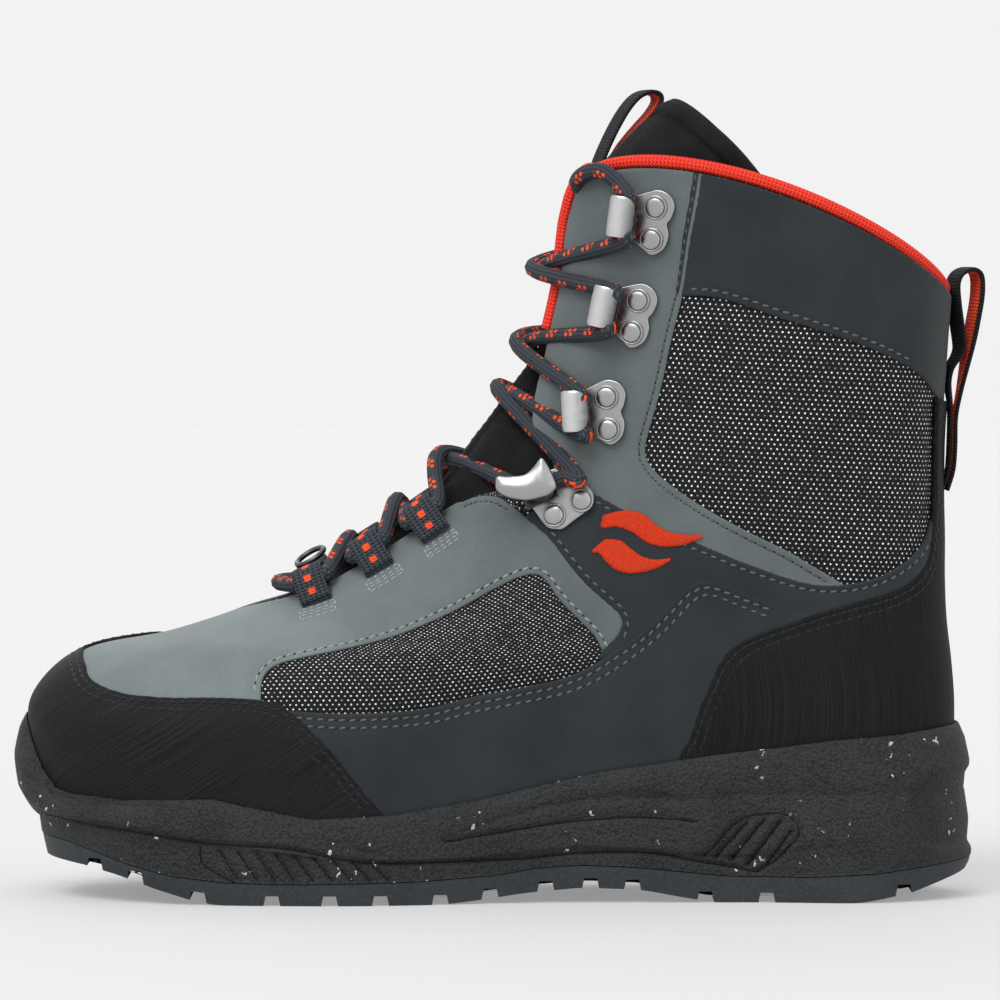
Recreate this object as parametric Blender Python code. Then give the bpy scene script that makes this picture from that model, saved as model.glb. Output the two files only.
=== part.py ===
"""Wading boot for the left foot: cup sole, lugged outsole, hollow laced upper with overlays, tongue and lacing.

Frame: metres, +X from the heel to the toe, +Y to the outer side of the foot, +Z up.
The origin is on the floor, under the centre of the heel.
"""

import math

import bmesh
import bpy
import numpy as np

MM = 0.001

# Driving sizes
SOLE_LENGTH = 312.5 * MM
COLLAR_HEIGHT = 236 * MM
BALL_WIDTH = 100 * MM
HEEL_STACK = 35 * MM
BALL_STACK = 19 * MM
TOE_STACK = 26.5 * MM
LUG_DEPTH = 3.2 * MM
SLOT_WIDTH = 4.5 * MM
CHANNEL_WIDTH = 4 * MM
CHANNEL_REACH = 14 * MM
WALL = 2.6 * MM
COLLAR_WALL = 4.6 * MM
PANEL = 1.2 * MM
GAP = 0.3 * MM
PANEL_GAP = 0.5 * MM
SEAM = 0.5 * MM
FACET = 0.6 * MM
INSOLE_THICKNESS = 4 * MM
TONGUE_THICKNESS = 5 * MM
TONGUE_OVERLAP = 12 * MM
TONGUE_PROUD = 1.4 * MM
PIPING_RADIUS = 2.2 * MM
LACE_RADIUS = 2.6 * MM
WEBBING = 1.4 * MM
LOOP_WIDTH = 10.5 * MM
PULL_WIDTH = 12 * MM
HOOK_METAL = 1.2 * MM
HOOK_WIDTH = 12 * MM
RIVET_RADIUS = 3.9 * MM
RIVET_HEIGHT = 1.6 * MM
RIVET_REACH = 5.2 * MM
RING_RADIUS = 4.3 * MM
RING_WIRE = 0.9 * MM
GROOVE_WIDTH = 1.8 * MM
GROOVE_DEPTH = 1.3 * MM

# Where the origin lies along the sole, as a share of its length from the back
HEEL_CENTRE = 0.19

# Sections of the last, from the feather edge up to the collar. Each one is a slanted
# plane from a point on the back of the boot to a point on its front or instep.
# x is a share of SOLE_LENGTH, z of COLLAR_HEIGHT, and half widths are of BALL_WIDTH.
# round is the share of a section over which its end closes, and arch lifts its middle.
SECTION_COLUMNS = (
    "back_x", "back_z", "front_x", "front_z", "front_y",
    "heel", "waist_out", "waist_in", "fore_out", "fore_in",
    "rear_round", "front_round", "front_power", "arch", "on_bed",
)
SECTIONS = (
    # Feather edge, rim, side bulge and toe top
    (0.040, 0.170, 0.949, 0.140, -0.085, 0.310, 0.350, 0.280, 0.490, 0.445, 0.14, 0.27, 2.40, 0.000, 1),
    (0.030, 0.205, 0.978, 0.225, -0.085, 0.340, 0.370, 0.310, 0.505, 0.465, 0.14, 0.27, 2.40, 0.000, 0),
    (0.028, 0.262, 0.972, 0.280, -0.085, 0.350, 0.380, 0.325, 0.490, 0.460, 0.14, 0.31, 2.30, 0.000, 0),
    (0.031, 0.320, 0.924, 0.332, -0.080, 0.345, 0.375, 0.330, 0.465, 0.440, 0.15, 0.38, 2.20, 0.000, 0),
    # Vamp, throat base, instep and ankle
    (0.036, 0.378, 0.834, 0.358, -0.070, 0.333, 0.370, 0.330, 0.430, 0.410, 0.16, 0.45, 2.15, 0.000, 0),
    (0.038, 0.435, 0.736, 0.405, -0.055, 0.330, 0.370, 0.340, 0.395, 0.375, 0.18, 0.45, 2.15, 0.000, 0),
    (0.038, 0.492, 0.630, 0.488, -0.035, 0.340, 0.380, 0.360, 0.365, 0.350, 0.21, 0.43, 2.15, 0.000, 0),
    (0.039, 0.560, 0.539, 0.583, -0.015, 0.355, 0.390, 0.375, 0.355, 0.345, 0.26, 0.43, 2.15, 0.005, 0),
    # Shaft and collar
    (0.038, 0.635, 0.472, 0.697, 0.000, 0.370, 0.400, 0.390, 0.370, 0.365, 0.31, 0.44, 2.15, 0.020, 0),
    (0.034, 0.708, 0.443, 0.805, 0.000, 0.385, 0.410, 0.400, 0.385, 0.380, 0.35, 0.46, 2.15, 0.045, 0),
    (0.031, 0.768, 0.435, 0.880, 0.000, 0.400, 0.420, 0.410, 0.400, 0.395, 0.37, 0.47, 2.15, 0.070, 0),
    (0.028, 0.822, 0.431, 0.930, 0.000, 0.410, 0.430, 0.420, 0.410, 0.405, 0.38, 0.48, 2.15, 0.098, 0),
)
TOP = len(SECTIONS) - 1
HEEL_SHARE = 0.15
WAIST_SHARE = 0.42
FORE_SHARE = 0.70
REAR_POWER = 2.2
# The arch of the collar line peaks nearer the front
ARCH_REAR_POWER = 0.75
ARCH_FRONT_POWER = 0.45

# Half width of the throat up the boot: level among the sections, share of BALL_WIDTH
THROAT_BASE = 4.7
THROAT = (
    (4.7, 0.000), (4.85, 0.080), (5.0, 0.140), (5.2, 0.185), (5.9, 0.190), (6.5, 0.202), (6.7, 0.230), (6.85, 0.300),
    (7.1, 0.303), (7.4, 0.250), (7.9, 0.180), (8.5, 0.145), (9.4, 0.140), (10.2, 0.150), (11.0, 0.210),
)

# Heights along the sole: x as a share of SOLE_LENGTH, then share of COLLAR_HEIGHT
RIM_LINE = (
    (0.000, 0.236), (0.070, 0.226), (0.140, 0.220), (0.265, 0.202), (0.390, 0.177), (0.500, 0.143),
    (0.600, 0.121), (0.680, 0.116), (0.720, 0.127), (0.780, 0.143), (0.900, 0.139), (0.945, 0.143),
    (0.965, 0.146), (0.980, 0.165), (0.993, 0.220), (1.000, 0.246),
)
STEP_LINE = (
    (0.000, 0.102), (0.240, 0.063), (0.290, 0.066), (0.410, 0.077), (0.530, 0.062), (0.650, 0.060),
    (0.750, 0.078), (0.850, 0.088), (0.930, 0.105), (0.975, 0.109), (1.000, 0.111),
)
SOLE_LINE = (
    (0.000, 0.056), (0.045, 0.048), (0.085, 0.041), (0.160, 0.036), (0.260, 0.037), (0.360, 0.050),
    (0.410, 0.053), (0.460, 0.049), (0.500, 0.040), (0.580, 0.033), (0.700, 0.030), (0.780, 0.032),
    (0.850, 0.040), (0.905, 0.056), (0.945, 0.072), (0.970, 0.081), (1.000, 0.086),
)
FLOOR_LINE = (
    (0.000, 0.038), (0.020, 0.028), (0.050, 0.013), (0.080, 0.005), (0.105, 0.000), (0.275, 0.000),
    (0.310, 0.008), (0.350, 0.018), (0.410, 0.021), (0.470, 0.014), (0.520, 0.005), (0.555, 0.000),
    (0.790, 0.000), (0.825, 0.007), (0.870, 0.021), (0.915, 0.038), (0.955, 0.049), (1.000, 0.056),
)

# Side wall of the midsole from its foot to its rim. share runs from one line to the next,
# and toe, side and heel are how many MM the wall stands proud of the last there.
MIDSOLE_WALL = (
    # above_step, share, toe, side, heel
    (0, 0.00, 5.4, 4.6, 10.2),
    (0, 0.95, 6.2, 5.0, 10.6),
    (1, 0.04, 6.9, 5.9, 10.6),
    (1, 0.30, 8.4, 5.9, 9.6),
    (1, 0.56, 7.4, 5.2, 5.6),
    (1, 0.63, 7.0, 5.0, 6.6),
    (1, 0.86, 4.8, 4.2, 5.0),
    (1, 1.00, 2.9, 3.1, 3.6),
)
CUP_CLEARANCE = PANEL_GAP + PANEL + 2 * GAP
CUP_ROWS = 5

# Across the outsole, as shares of SOLE_LENGTH from the back
SLOTS = (
    0.079, 0.220, 0.283, 0.358, 0.401, 0.447, 0.504, 0.555, 0.616, 0.668, 0.727, 0.803, 0.868, 0.911,
)

# Grooves in the side of the midsole: first and last foot (x, z), lean of each (x, z), how many
GROOVES = (
    ("forefoot", (0.645, 0.042), (0.780, 0.060), (0.028, 0.036), 6),
    ("heel", (0.218, 0.073), (0.268, 0.067), (-0.022, 0.040), 4),
)

COLUMNS = 30
LEVELS = (0.0, 0.8, 1.6, 2.4, 3.2, 4.0, 4.7, 4.85, 5.0, 5.2, 5.9, 6.5, 6.8, 7.1, 7.6, 8.6, 9.8, 11.0)
TONGUE_LEVELS = (4.4, 5.0, 5.5, 6.2, 6.8, 7.3, 7.9, 8.6, 9.8, 11.0, 11.5, 12.0)
TONGUE_COLUMNS = 8
# How far the tongue's middle and edge run on past the collar, as shares of the length and height
TONGUE_LEAN = -0.098
TONGUE_RISE = 0.143
TONGUE_EDGE_RISE = 0.075

# Seams seen from the side: x as a share of SOLE_LENGTH, z as a share of COLLAR_HEIGHT
TOE_EDGE = ((0.916, 0.329), (0.908, 0.303), (0.867, 0.284), (0.745, 0.279))
TOE_SIDE = ((0.709, 0.263), (0.649, 0.180), (0.600, 0.100))
TOE_TOP = (0.941, 0.352)
WINDOW_TOP = ((0.735, 0.299), (0.715, 0.328), (0.635, 0.355), (0.501, 0.432), (0.463, 0.448), (0.429, 0.410))
WINDOW_REAR = (0.381, 0.344)
WINDOW_LOW = ((0.470, 0.299), (0.576, 0.267), (0.704, 0.263))
QUARTER_REAR = ((0.366, 0.354), (0.360, 0.378), (0.387, 0.428), (0.449, 0.514), (0.477, 0.534), (0.499, 0.553))
STRAP_LOW = ((0.398, 0.557), (0.348, 0.520), (0.285, 0.485), (0.181, 0.434), (0.150, 0.431), (0.091, 0.451))
STRAP_END = (0.058, 0.493)
SHAFT_LOW = ((0.063, 0.499), (0.090, 0.468), (0.119, 0.449), (0.150, 0.446), (0.208, 0.494), (0.249, 0.507),
             (0.306, 0.555), (0.336, 0.587), (0.345, 0.608))
SHAFT_FRONT = ((0.344, 0.637), (0.327, 0.746))
SHAFT_CORNER = (0.306, 0.828)
SHAFT_TOP = ((0.269, 0.823), (0.208, 0.794), (0.137, 0.766), (0.076, 0.732), (0.050, 0.696))
CUFF_FRONT = ((0.299, 0.897), (0.286, 0.988))
COUNTER_FRONT = ((0.311, 0.100), (0.311, 0.194), (0.302, 0.230), (0.287, 0.283), (0.274, 0.329), (0.257, 0.352))
COUNTER_TOP = ((0.183, 0.389), (0.141, 0.407), (0.090, 0.428), (0.066, 0.454))
BEHIND = -0.08
AHEAD = 1.08
ABOVE = 1.12
BELOW = 0.04

PANELS = (
    # name, finish, sides it covers, outline
    ("toe_cap", "black", 0, (
        (AHEAD, BELOW), (AHEAD, 0.60), TOE_TOP, *TOE_EDGE, *TOE_SIDE, (0.600, BELOW))),
    ("vamp", "grey", 0, (
        TOE_TOP, (0.80, 0.70), (0.499, 0.70), *QUARTER_REAR[::-1], WINDOW_REAR, *WINDOW_TOP[::-1], *TOE_EDGE[::-1])),
    ("side_guard", "slate", 1, (
        (0.600, BELOW), *TOE_SIDE[:0:-1], *WINDOW_LOW[::-1], WINDOW_REAR, *QUARTER_REAR,
        (0.499, 0.600), *STRAP_LOW, STRAP_END, *COUNTER_TOP[::-1], *COUNTER_FRONT[::-1], (0.311, BELOW))),
    ("eyestay", "grey", 1, (
        STRAP_END, *STRAP_LOW[::-1], (0.499, 0.600), (0.700, ABOVE), (0.286, ABOVE), *CUFF_FRONT[::-1],
        SHAFT_CORNER, *SHAFT_FRONT[::-1], *SHAFT_LOW[::-1])),
    ("cuff", "slate", 0, (
        (0.286, ABOVE), *CUFF_FRONT[::-1], SHAFT_CORNER, *SHAFT_TOP, (BEHIND, 0.690), (BEHIND, ABOVE))),
    ("heel_counter", "black", 0, (
        (BEHIND, BELOW), (0.311, BELOW), *COUNTER_FRONT, *COUNTER_TOP, STRAP_END, (0.050, 0.696), (BEHIND, 0.690))),
)

# Lacing points up each side: kind, level and turn. A loop sits at the throat's edge.
LACING = (
    ("loop", 5.25, None),
    ("loop", 5.78, None),
    ("loop", 6.33, None),
    ("lock", 6.56, 0.321),
    ("hook", 7.70, 0.338),
    ("hook", 8.75, 0.341),
    ("hook", 10.04, 0.334),
)
# Where the lace leaves each lacing point, as a share of BALL_WIDTH from the middle
LACE_STARTS = (0.055, 0.055, 0.055, 0.180, 0.165, 0.165, 0.165)
LACE_ROWS = (5.25, 5.78, 6.33, 6.98, 7.85, 8.80, 10.10)
LACE_BASE = 5.155
# The lace lies closer over the tongue than where it crosses the throat's edges
LACE_LIFT = 0.045

# Folded webbing and bent metal from the side: forwards and outwards in MM
LOOP_FOLD = (
    (-14, 3.3), (-0.5, 3.3), (2.6, 2.0), (5.0, 1.6), (7.9, 2.7), (9.0, 5.6),
    (7.9, 8.5), (5.0, 9.6), (2.2, 8.6), (-0.5, 5.1), (-14, 5.1),
)
HOOK_BEND = ((4.0, 2.5), (9.5, 2.6), (12.3, 3.5), (13.6, 5.6), (12.9, 8.0), (10.6, 9.3), (8.3, 9.0))
LOCK_BEND = ((4.0, 2.5), (9.0, 2.8), (12.6, 4.6), (14.6, 7.2), (12.0, 9.2), (6.0, 8.4), (2.0, 7.6))
PLATE_LOBE = 5.6 * MM
PLATE_NECK = 8.5 * MM
PLATE_NOTCH = 4.0 * MM
LOBE_ANGLES = (45, 85, 125, 170)

# Pull loops in side view: x as a share of SOLE_LENGTH, z as a share of COLLAR_HEIGHT
TONGUE_LOOP = (
    (0.399, 0.985), (0.385, 1.034), (0.357, 1.090), (0.344, 1.112), (0.333, 1.112), (0.330, 1.098),
    (0.347, 1.078), (0.363, 1.053), (0.378, 1.026),
)
HEEL_LOOP = (
    (0.0300, 0.560), (0.0290, 0.640), (0.0250, 0.715), (0.0212, 0.790), (0.0130, 0.845), (0.0000, 0.858),
    (-0.0110, 0.846), (-0.0120, 0.810), (-0.0060, 0.750), (0.0060, 0.680), (0.0160, 0.620), (0.0210, 0.560),
)

COLOURS = {
    # base colour, roughness, metallic
    "outsole": ((0.045, 0.050, 0.058), 0.65, 0.0),
    "midsole": ((0.030, 0.030, 0.030), 0.75, 0.0),
    "insole": ((0.030, 0.030, 0.032), 0.90, 0.0),
    "base": ((0.022, 0.022, 0.024), 0.85, 0.0),
    "black": ((0.012, 0.012, 0.013), 0.80, 0.0),
    "slate": ((0.040, 0.050, 0.056), 0.70, 0.0),
    "grey": ((0.110, 0.130, 0.130), 0.65, 0.0),
    "tongue": ((0.014, 0.014, 0.015), 0.90, 0.0),
    "orange": ((0.800, 0.060, 0.020), 0.70, 0.0),
    "lace": ((0.030, 0.035, 0.045), 0.80, 0.0),
    "metal": ((0.550, 0.560, 0.570), 0.30, 1.0),
}


def clear_scene():
    for obj in list(bpy.data.objects):
        bpy.data.objects.remove(obj)


def material(name):
    made = bpy.data.materials.get(name)
    if made:
        return made
    colour, roughness, metallic = COLOURS[name]
    made = bpy.data.materials.new(name)
    made.use_nodes = True
    shader = made.node_tree.nodes["Principled BSDF"]
    shader.inputs["Base Color"].default_value = (*colour, 1)
    shader.inputs["Roughness"].default_value = roughness
    shader.inputs["Metallic"].default_value = metallic
    return made


def add_object(name, points, faces, finish=None):
    """A closed mesh with its faces turned outwards."""
    mesh = bpy.data.meshes.new(name)
    mesh.from_pydata([tuple(point) for point in points], [], faces)
    shape = bmesh.new()
    shape.from_mesh(mesh)
    bmesh.ops.remove_doubles(shape, verts=shape.verts, dist=0.01 * MM)
    bmesh.ops.recalc_face_normals(shape, faces=shape.faces)
    if shape.calc_volume(signed=True) < 0:
        bmesh.ops.reverse_faces(shape, faces=shape.faces)
    shape.to_mesh(mesh)
    shape.free()
    obj = bpy.data.objects.new(name, mesh)
    bpy.context.scene.collection.objects.link(obj)
    if finish:
        mesh.materials.append(material(finish))
        smooth(obj)
    return obj


def smooth(obj):
    obj.data.shade_smooth()
    obj.data.set_sharp_from_angle(angle=math.radians(40))


def boolean(obj, other, operation):
    """Applies an exact Boolean to obj and removes the other object."""
    modifier = obj.modifiers.new("cut", "BOOLEAN")
    modifier.solver = "EXACT"
    modifier.operation = operation
    modifier.object = other
    graph = bpy.context.evaluated_depsgraph_get()
    result = bpy.data.meshes.new_from_object(obj.evaluated_get(graph))
    obj.modifiers.remove(modifier)
    obj.data = result
    bpy.data.objects.remove(other)
    smooth(obj)


def ease(t):
    t = np.clip(t, 0, 1)
    return t * t * (3 - 2 * t)


def read_line(line, share):
    """Height on a line of (share, height) rows."""
    shares, heights = zip(*line)
    return np.interp(share, shares, heights)


def to_frame(points):
    """Moves points measured from the back of the sole into the part's frame."""
    return points - np.array([HEEL_CENTRE * SOLE_LENGTH, 0, 0])


def section(level):
    """The section table's columns at a level, blended smoothly between rows."""
    level = np.clip(np.asarray(level, float), 0, TOP)
    rows = np.array(SECTIONS)
    low = np.minimum(level.astype(int), TOP - 1)
    t = (level - low)[..., None]
    before, after = rows[np.maximum(low - 1, 0)], rows[np.minimum(low + 2, TOP)]
    a, b = rows[low], rows[low + 1]
    rise_a, rise_b = (b - before) / 2, (after - a) / 2
    value = (
        a * (1 + 2 * t) * (1 - t) ** 2 + rise_a * t * (1 - t) ** 2
        + b * t * t * (3 - 2 * t) - rise_b * t * t * (1 - t)
    )
    return dict(zip(SECTION_COLUMNS, np.moveaxis(value, -1, 0)))


def bed_height(x):
    """Floor of the cup that the upper and the insole stand on."""
    share = x / SOLE_LENGTH
    fall = HEEL_STACK + (BALL_STACK - HEEL_STACK) * ease((share - 0.22) / 0.40)
    return fall + (TOE_STACK - BALL_STACK) * ease((share - 0.78) / 0.22)


def run_share(turn):
    """Share of the way from the back to the front at a turn."""
    return (1 - np.cos(2 * np.pi * np.abs(turn))) / 2


def last_point(turn, level):
    """Point of the last's outer surface, measured from the back of the sole.

    turn goes round the boot: 0 at the back, 0.5 at the front, and below 0 on the inner side.
    """
    turn = np.mod(np.asarray(turn, float) + 0.5, 1) - 0.5
    turn, level = np.broadcast_arrays(turn, np.asarray(level, float))
    row = section(level)
    share = run_share(turn)
    outer = turn >= 0
    waist = np.where(outer, row["waist_out"], row["waist_in"])
    fore = np.where(outer, row["fore_out"], row["fore_in"])
    half = row["heel"] + (waist - row["heel"]) * ease((share - HEEL_SHARE) / (WAIST_SHARE - HEEL_SHARE))
    half = half + (fore - waist) * ease((share - WAIST_SHARE) / (FORE_SHARE - WAIST_SHARE))
    rear = np.clip(1 - share / row["rear_round"], 0, 1)
    front = np.clip(1 - (1 - share) / row["front_round"], 0, 1)
    half = half * (1 - rear**REAR_POWER) ** (1 / REAR_POWER)
    half = half * (1 - front ** row["front_power"]) ** (1 / row["front_power"])
    peak = ARCH_REAR_POWER / (ARCH_REAR_POWER + ARCH_FRONT_POWER)
    arch = (share / peak) ** ARCH_REAR_POWER * ((1 - share) / (1 - peak)) ** ARCH_FRONT_POWER
    x = (row["back_x"] + (row["front_x"] - row["back_x"]) * share) * SOLE_LENGTH
    z = (row["back_z"] + (row["front_z"] - row["back_z"]) * share + row["arch"] * arch) * COLLAR_HEIGHT
    z = z + (bed_height(x) + GAP - z) * np.clip(row["on_bed"], 0, 1)
    y = (np.where(outer, half, -half) + row["front_y"] * share**2.5) * BALL_WIDTH
    return np.stack([x, y, z], -1)


def last_axes(turn, level):
    """Directions round, up and out of the last's surface."""
    step_turn, step_level = 0.002, 0.02
    level = np.asarray(level, float)
    higher, lower = np.minimum(level + step_level, TOP), np.maximum(level - step_level, 0)
    around = last_point(turn + step_turn, level) - last_point(turn - step_turn, level)
    rise = last_point(turn, higher) - last_point(turn, lower)
    out = np.cross(rise, around)
    # Close to the sole the surface is offset level with the ground
    out[..., 2] *= np.clip(level, 0, 1)
    out = out / np.linalg.norm(out, axis=-1, keepdims=True)
    around = around / np.linalg.norm(around, axis=-1, keepdims=True)
    return around, np.cross(around, out), out


def on_last(turn, level, offset=0.0):
    """Point at a distance outside the last, measured from the back of the sole."""
    turn, level = np.broadcast_arrays(np.asarray(turn, float), np.asarray(level, float))
    out = last_axes(turn, level)[2]
    return last_point(turn, level) + out * np.asarray(offset, float)[..., None]


def turn_at(level, half):
    """Turn on the outer side at which the front of a section is this far from its middle."""
    row = section(level)
    wide = (row["fore_out"] + row["fore_in"]) / 2
    power = row["front_power"]
    closed = (1 - np.clip(half / BALL_WIDTH / wide, 0, 0.98) ** power) ** (1 / power)
    return np.arccos(1 - 2 * (1 - row["front_round"] * (1 - closed))) / (2 * np.pi)


def throat_half(level):
    return read_line(THROAT, level) * BALL_WIDTH


def throat_turn(level, beyond=0.0):
    return turn_at(level, throat_half(level) + beyond)


def wall_at(level):
    """Wall thickness: the collar is padded."""
    return WALL + (COLLAR_WALL - WALL) * ease((np.asarray(level, float) - 6) / 4)


def shell(name, inside, outside, finish=None):
    """A hollow form between two distances from the last, open below, at the throat and at the collar."""
    levels = np.array(LEVELS)
    turns = np.linspace(-1, 1, COLUMNS + 1)[None, :] * throat_turn(levels)[:, None]
    grid = np.broadcast_to(levels[:, None], turns.shape)
    points = np.concatenate([on_last(turns, grid, distance(grid)).reshape(-1, 3) for distance in (outside, inside)])
    across = COLUMNS + 1
    inner = len(levels) * across
    faces = []
    for i in range(len(levels) - 1):
        for j in range(COLUMNS):
            a = i * across + j
            b, c, d = a + 1, a + across + 1, a + across
            # One diagonal everywhere keeps neighbouring shells parallel
            for corners in ((a, b, c), (a, c, d)):
                faces.append(corners)
                faces.append(tuple(inner + k for k in corners[::-1]))
    top = (len(levels) - 1) * across
    for j in range(COLUMNS):
        faces.append((j, inner + j, inner + j + 1, j + 1))
        faces.append((top + j, top + j + 1, inner + top + j + 1, inner + top + j))
    for i in range(LEVELS.index(THROAT_BASE), len(levels) - 1):
        for j in (0, COLUMNS):
            a, d = i * across + j, (i + 1) * across + j
            faces.append((a, d, inner + d, inner + a))
    return add_object(name, to_frame(points), faces, finish)


def inset(outline, distance):
    """Moves every side of a closed outline inwards by a distance."""
    points = np.array(outline) * (SOLE_LENGTH, COLLAR_HEIGHT)
    after = np.roll(points, -1, axis=0)
    turned = np.sign(np.sum(points[:, 0] * after[:, 1] - after[:, 0] * points[:, 1]))
    sides = after - points
    sides = sides / np.linalg.norm(sides, axis=1, keepdims=True)
    inward = np.stack([-sides[:, 1], sides[:, 0]], 1) * turned
    before = np.roll(inward, 1, axis=0)
    spread = 1 + np.sum(inward * before, axis=1, keepdims=True)
    return points + (inward + before) / np.maximum(spread, 0.4) * distance


def prism(name, outline, near, far):
    """A straight cutter across the boot with a side-view outline."""
    count = len(outline)
    points = [(x, y, z) for y in (near, far) for x, z in outline]
    faces = [(i, (i + 1) % count, count + (i + 1) % count, count + i) for i in range(count)]
    faces += [tuple(range(count))[::-1], tuple(range(count, 2 * count))]
    return add_object(name, to_frame(np.array(points)), faces)


def build_panel(name, finish, outline, near, far):
    obj = shell(name, lambda level: PANEL_GAP + 0 * level, lambda level: PANEL_GAP + PANEL + 0 * level, finish)
    boolean(obj, prism("cutter", inset(outline, SEAM / 2), near, far), "INTERSECT")


def build_panels():
    beyond = BALL_WIDTH
    for name, finish, sides, outline in PANELS:
        if sides:
            build_panel(f"{name}_outer", finish, outline, 0, beyond)
            build_panel(f"{name}_inner", finish, outline, -beyond, 0)
        else:
            build_panel(name, finish, outline, -beyond, beyond)


def ring_turns():
    return np.arange(COLUMNS) / COLUMNS


def ring_solid(name, rows, finish):
    """Closes a stack of rings round the sole, with strips across the first and the last."""
    count = COLUMNS
    points = np.concatenate(rows)
    faces = []
    for i in range(len(rows) - 1):
        for j in range(count):
            k = (j + 1) % count
            faces.append((i * count + j, i * count + k, (i + 1) * count + k, (i + 1) * count + j))
    last = (len(rows) - 1) * count
    for j in range(count // 2):
        strip = list(dict.fromkeys((j, j + 1, count - j - 1, (count - j) % count)))
        faces.append(strip)
        faces.append([last + k for k in strip[::-1]])
    return add_object(name, to_frame(points), faces, finish)


def level_at_height(turn, height):
    """Level at which the last's side stands at a height."""
    low, high = np.zeros(np.shape(turn)), np.full(np.shape(turn), 4.0)
    for _ in range(24):
        middle = (low + high) / 2
        below = last_point(turn, middle)[..., 2] < height
        low, high = np.where(below, middle, low), np.where(below, high, middle)
    return low


def sole_share(turn):
    """Share of SOLE_LENGTH that a turn stands for, stretched over the ends of the sole."""
    share, foot = run_share(turn), last_point(turn, 0 * turn)[..., 0] / SOLE_LENGTH
    heel, toe = SECTIONS[0][0], SECTIONS[0][2]
    return foot + (1 - toe) * ease((share - 0.75) / 0.25) - heel * (1 - ease(share / 0.25))


def sole_height(turn, above_step, share):
    lines = (STEP_LINE, RIM_LINE) if above_step else (SOLE_LINE, STEP_LINE)
    low, high = (read_line(line, sole_share(turn)) * COLLAR_HEIGHT for line in lines)
    return low + (high - low) * share


def sole_out(turn, toe, side, heel):
    """How far the sole stands proud of the last round its outline."""
    share = run_share(turn)
    at_toe, at_heel = ease((share - 0.80) / 0.16), 1 - ease((share - 0.03) / 0.22)
    return (side + (toe - side) * at_toe + (heel - side) * at_heel) * MM


def sole_ring(turn, above_step, share, toe, side, heel):
    """One ring of the midsole's side wall."""
    height = sole_height(turn, above_step, share)
    level = level_at_height(turn, height)
    away = last_axes(turn, level)[2] * (1, 1, 0)
    away = away / np.linalg.norm(away, axis=-1, keepdims=True)
    point = last_point(turn, level) + away * sole_out(turn, toe, side, heel)[..., None]
    point[..., 2] = height
    return point


def build_midsole():
    turn = ring_turns()
    rows = [sole_ring(turn, *row) for row in MIDSOLE_WALL]
    rim_level = level_at_height(turn, rows[-1][:, 2])
    for share in np.linspace(1, 0, CUP_ROWS):
        ring = on_last(turn, rim_level * share, np.full(COLUMNS, CUP_CLEARANCE))
        ring[:, 2] -= GAP * (1 - share)
        rows.append(ring)
    obj = ring_solid("midsole", rows, "midsole")
    for _, first, final, lean, count in GROOVES:
        cut_grooves(obj, first, final, lean, count)


def cut_grooves(obj, first, final, lean, count):
    """Slanting grooves in both sides of the midsole."""
    size = np.array([SOLE_LENGTH, COLLAR_HEIGHT])
    points, faces = [], []
    for share in np.linspace(0, 1, count):
        foot = (np.array(first) * (1 - share) + np.array(final) * share) * size
        direction = np.array(lean) * size
        across = np.array([-direction[1], direction[0]]) / np.linalg.norm(direction) * GROOVE_WIDTH / 2
        outline = [foot - across, foot + across, foot + direction * 1.1, foot + direction - across]
        for side in (1, -1):
            outer = side_reach(foot[0] + direction[0] / 2, side)
            start = len(points)
            points += [(x, y, z) for y in (outer - side * GROOVE_DEPTH, outer + side * BALL_WIDTH / 8)
                       for x, z in outline]
            faces += [(start + i, start + (i + 1) % 4, start + 4 + (i + 1) % 4, start + 4 + i) for i in range(4)]
            faces += [(start + 3, start + 2, start + 1, start), (start + 4, start + 5, start + 6, start + 7)]
    boolean(obj, add_object("cutter", to_frame(np.array(points)), faces), "DIFFERENCE")


def side_reach(x, side):
    """How far the midsole's side reaches from the middle at a place along the sole."""
    turn = np.linspace(0.02, 0.48, 80) * side
    ring = sole_ring(turn, *MIDSOLE_WALL[3])
    order = np.argsort(ring[:, 0])
    return np.interp(x, ring[order, 0], ring[order, 1])


def build_outsole():
    turn = ring_turns()
    rows = []
    for out, line, drop in ((0.3, SOLE_LINE, GAP), (0.6, SOLE_LINE, 2 * MM), (1.8, FLOOR_LINE, 0)):
        ring = sole_ring(turn, *MIDSOLE_WALL[0])
        away = last_axes(turn, 0 * turn)[2]
        ring = ring - away * out * MM
        ring[:, 2] = read_line(line, sole_share(turn)) * COLLAR_HEIGHT - drop
        rows.append(ring)
    obj = ring_solid("outsole", rows[::-1], "outsole")
    cut_channels(obj)
    cut_slots(obj)


def floor_at(x):
    return read_line(FLOOR_LINE, x / SOLE_LENGTH) * COLLAR_HEIGHT


def cut_slots(obj):
    """Slots across the sole between its lugs."""
    points, faces = [], []
    for share in SLOTS:
        x, start = share * SOLE_LENGTH, len(points)
        for z in (floor_at(x) - BALL_WIDTH / 8, floor_at(x) + LUG_DEPTH):
            for px, py in ((-1, -1), (1, -1), (1, 1), (-1, 1)):
                points.append((x + px * SLOT_WIDTH / 2, py * BALL_WIDTH, z))
        faces += [(start + i, start + (i + 1) % 4, start + 4 + (i + 1) % 4, start + 4 + i) for i in range(4)]
        faces += [(start + 3, start + 2, start + 1, start), (start + 4, start + 5, start + 6, start + 7)]
    boolean(obj, add_object("cutter", to_frame(np.array(points)), faces), "DIFFERENCE")


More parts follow.
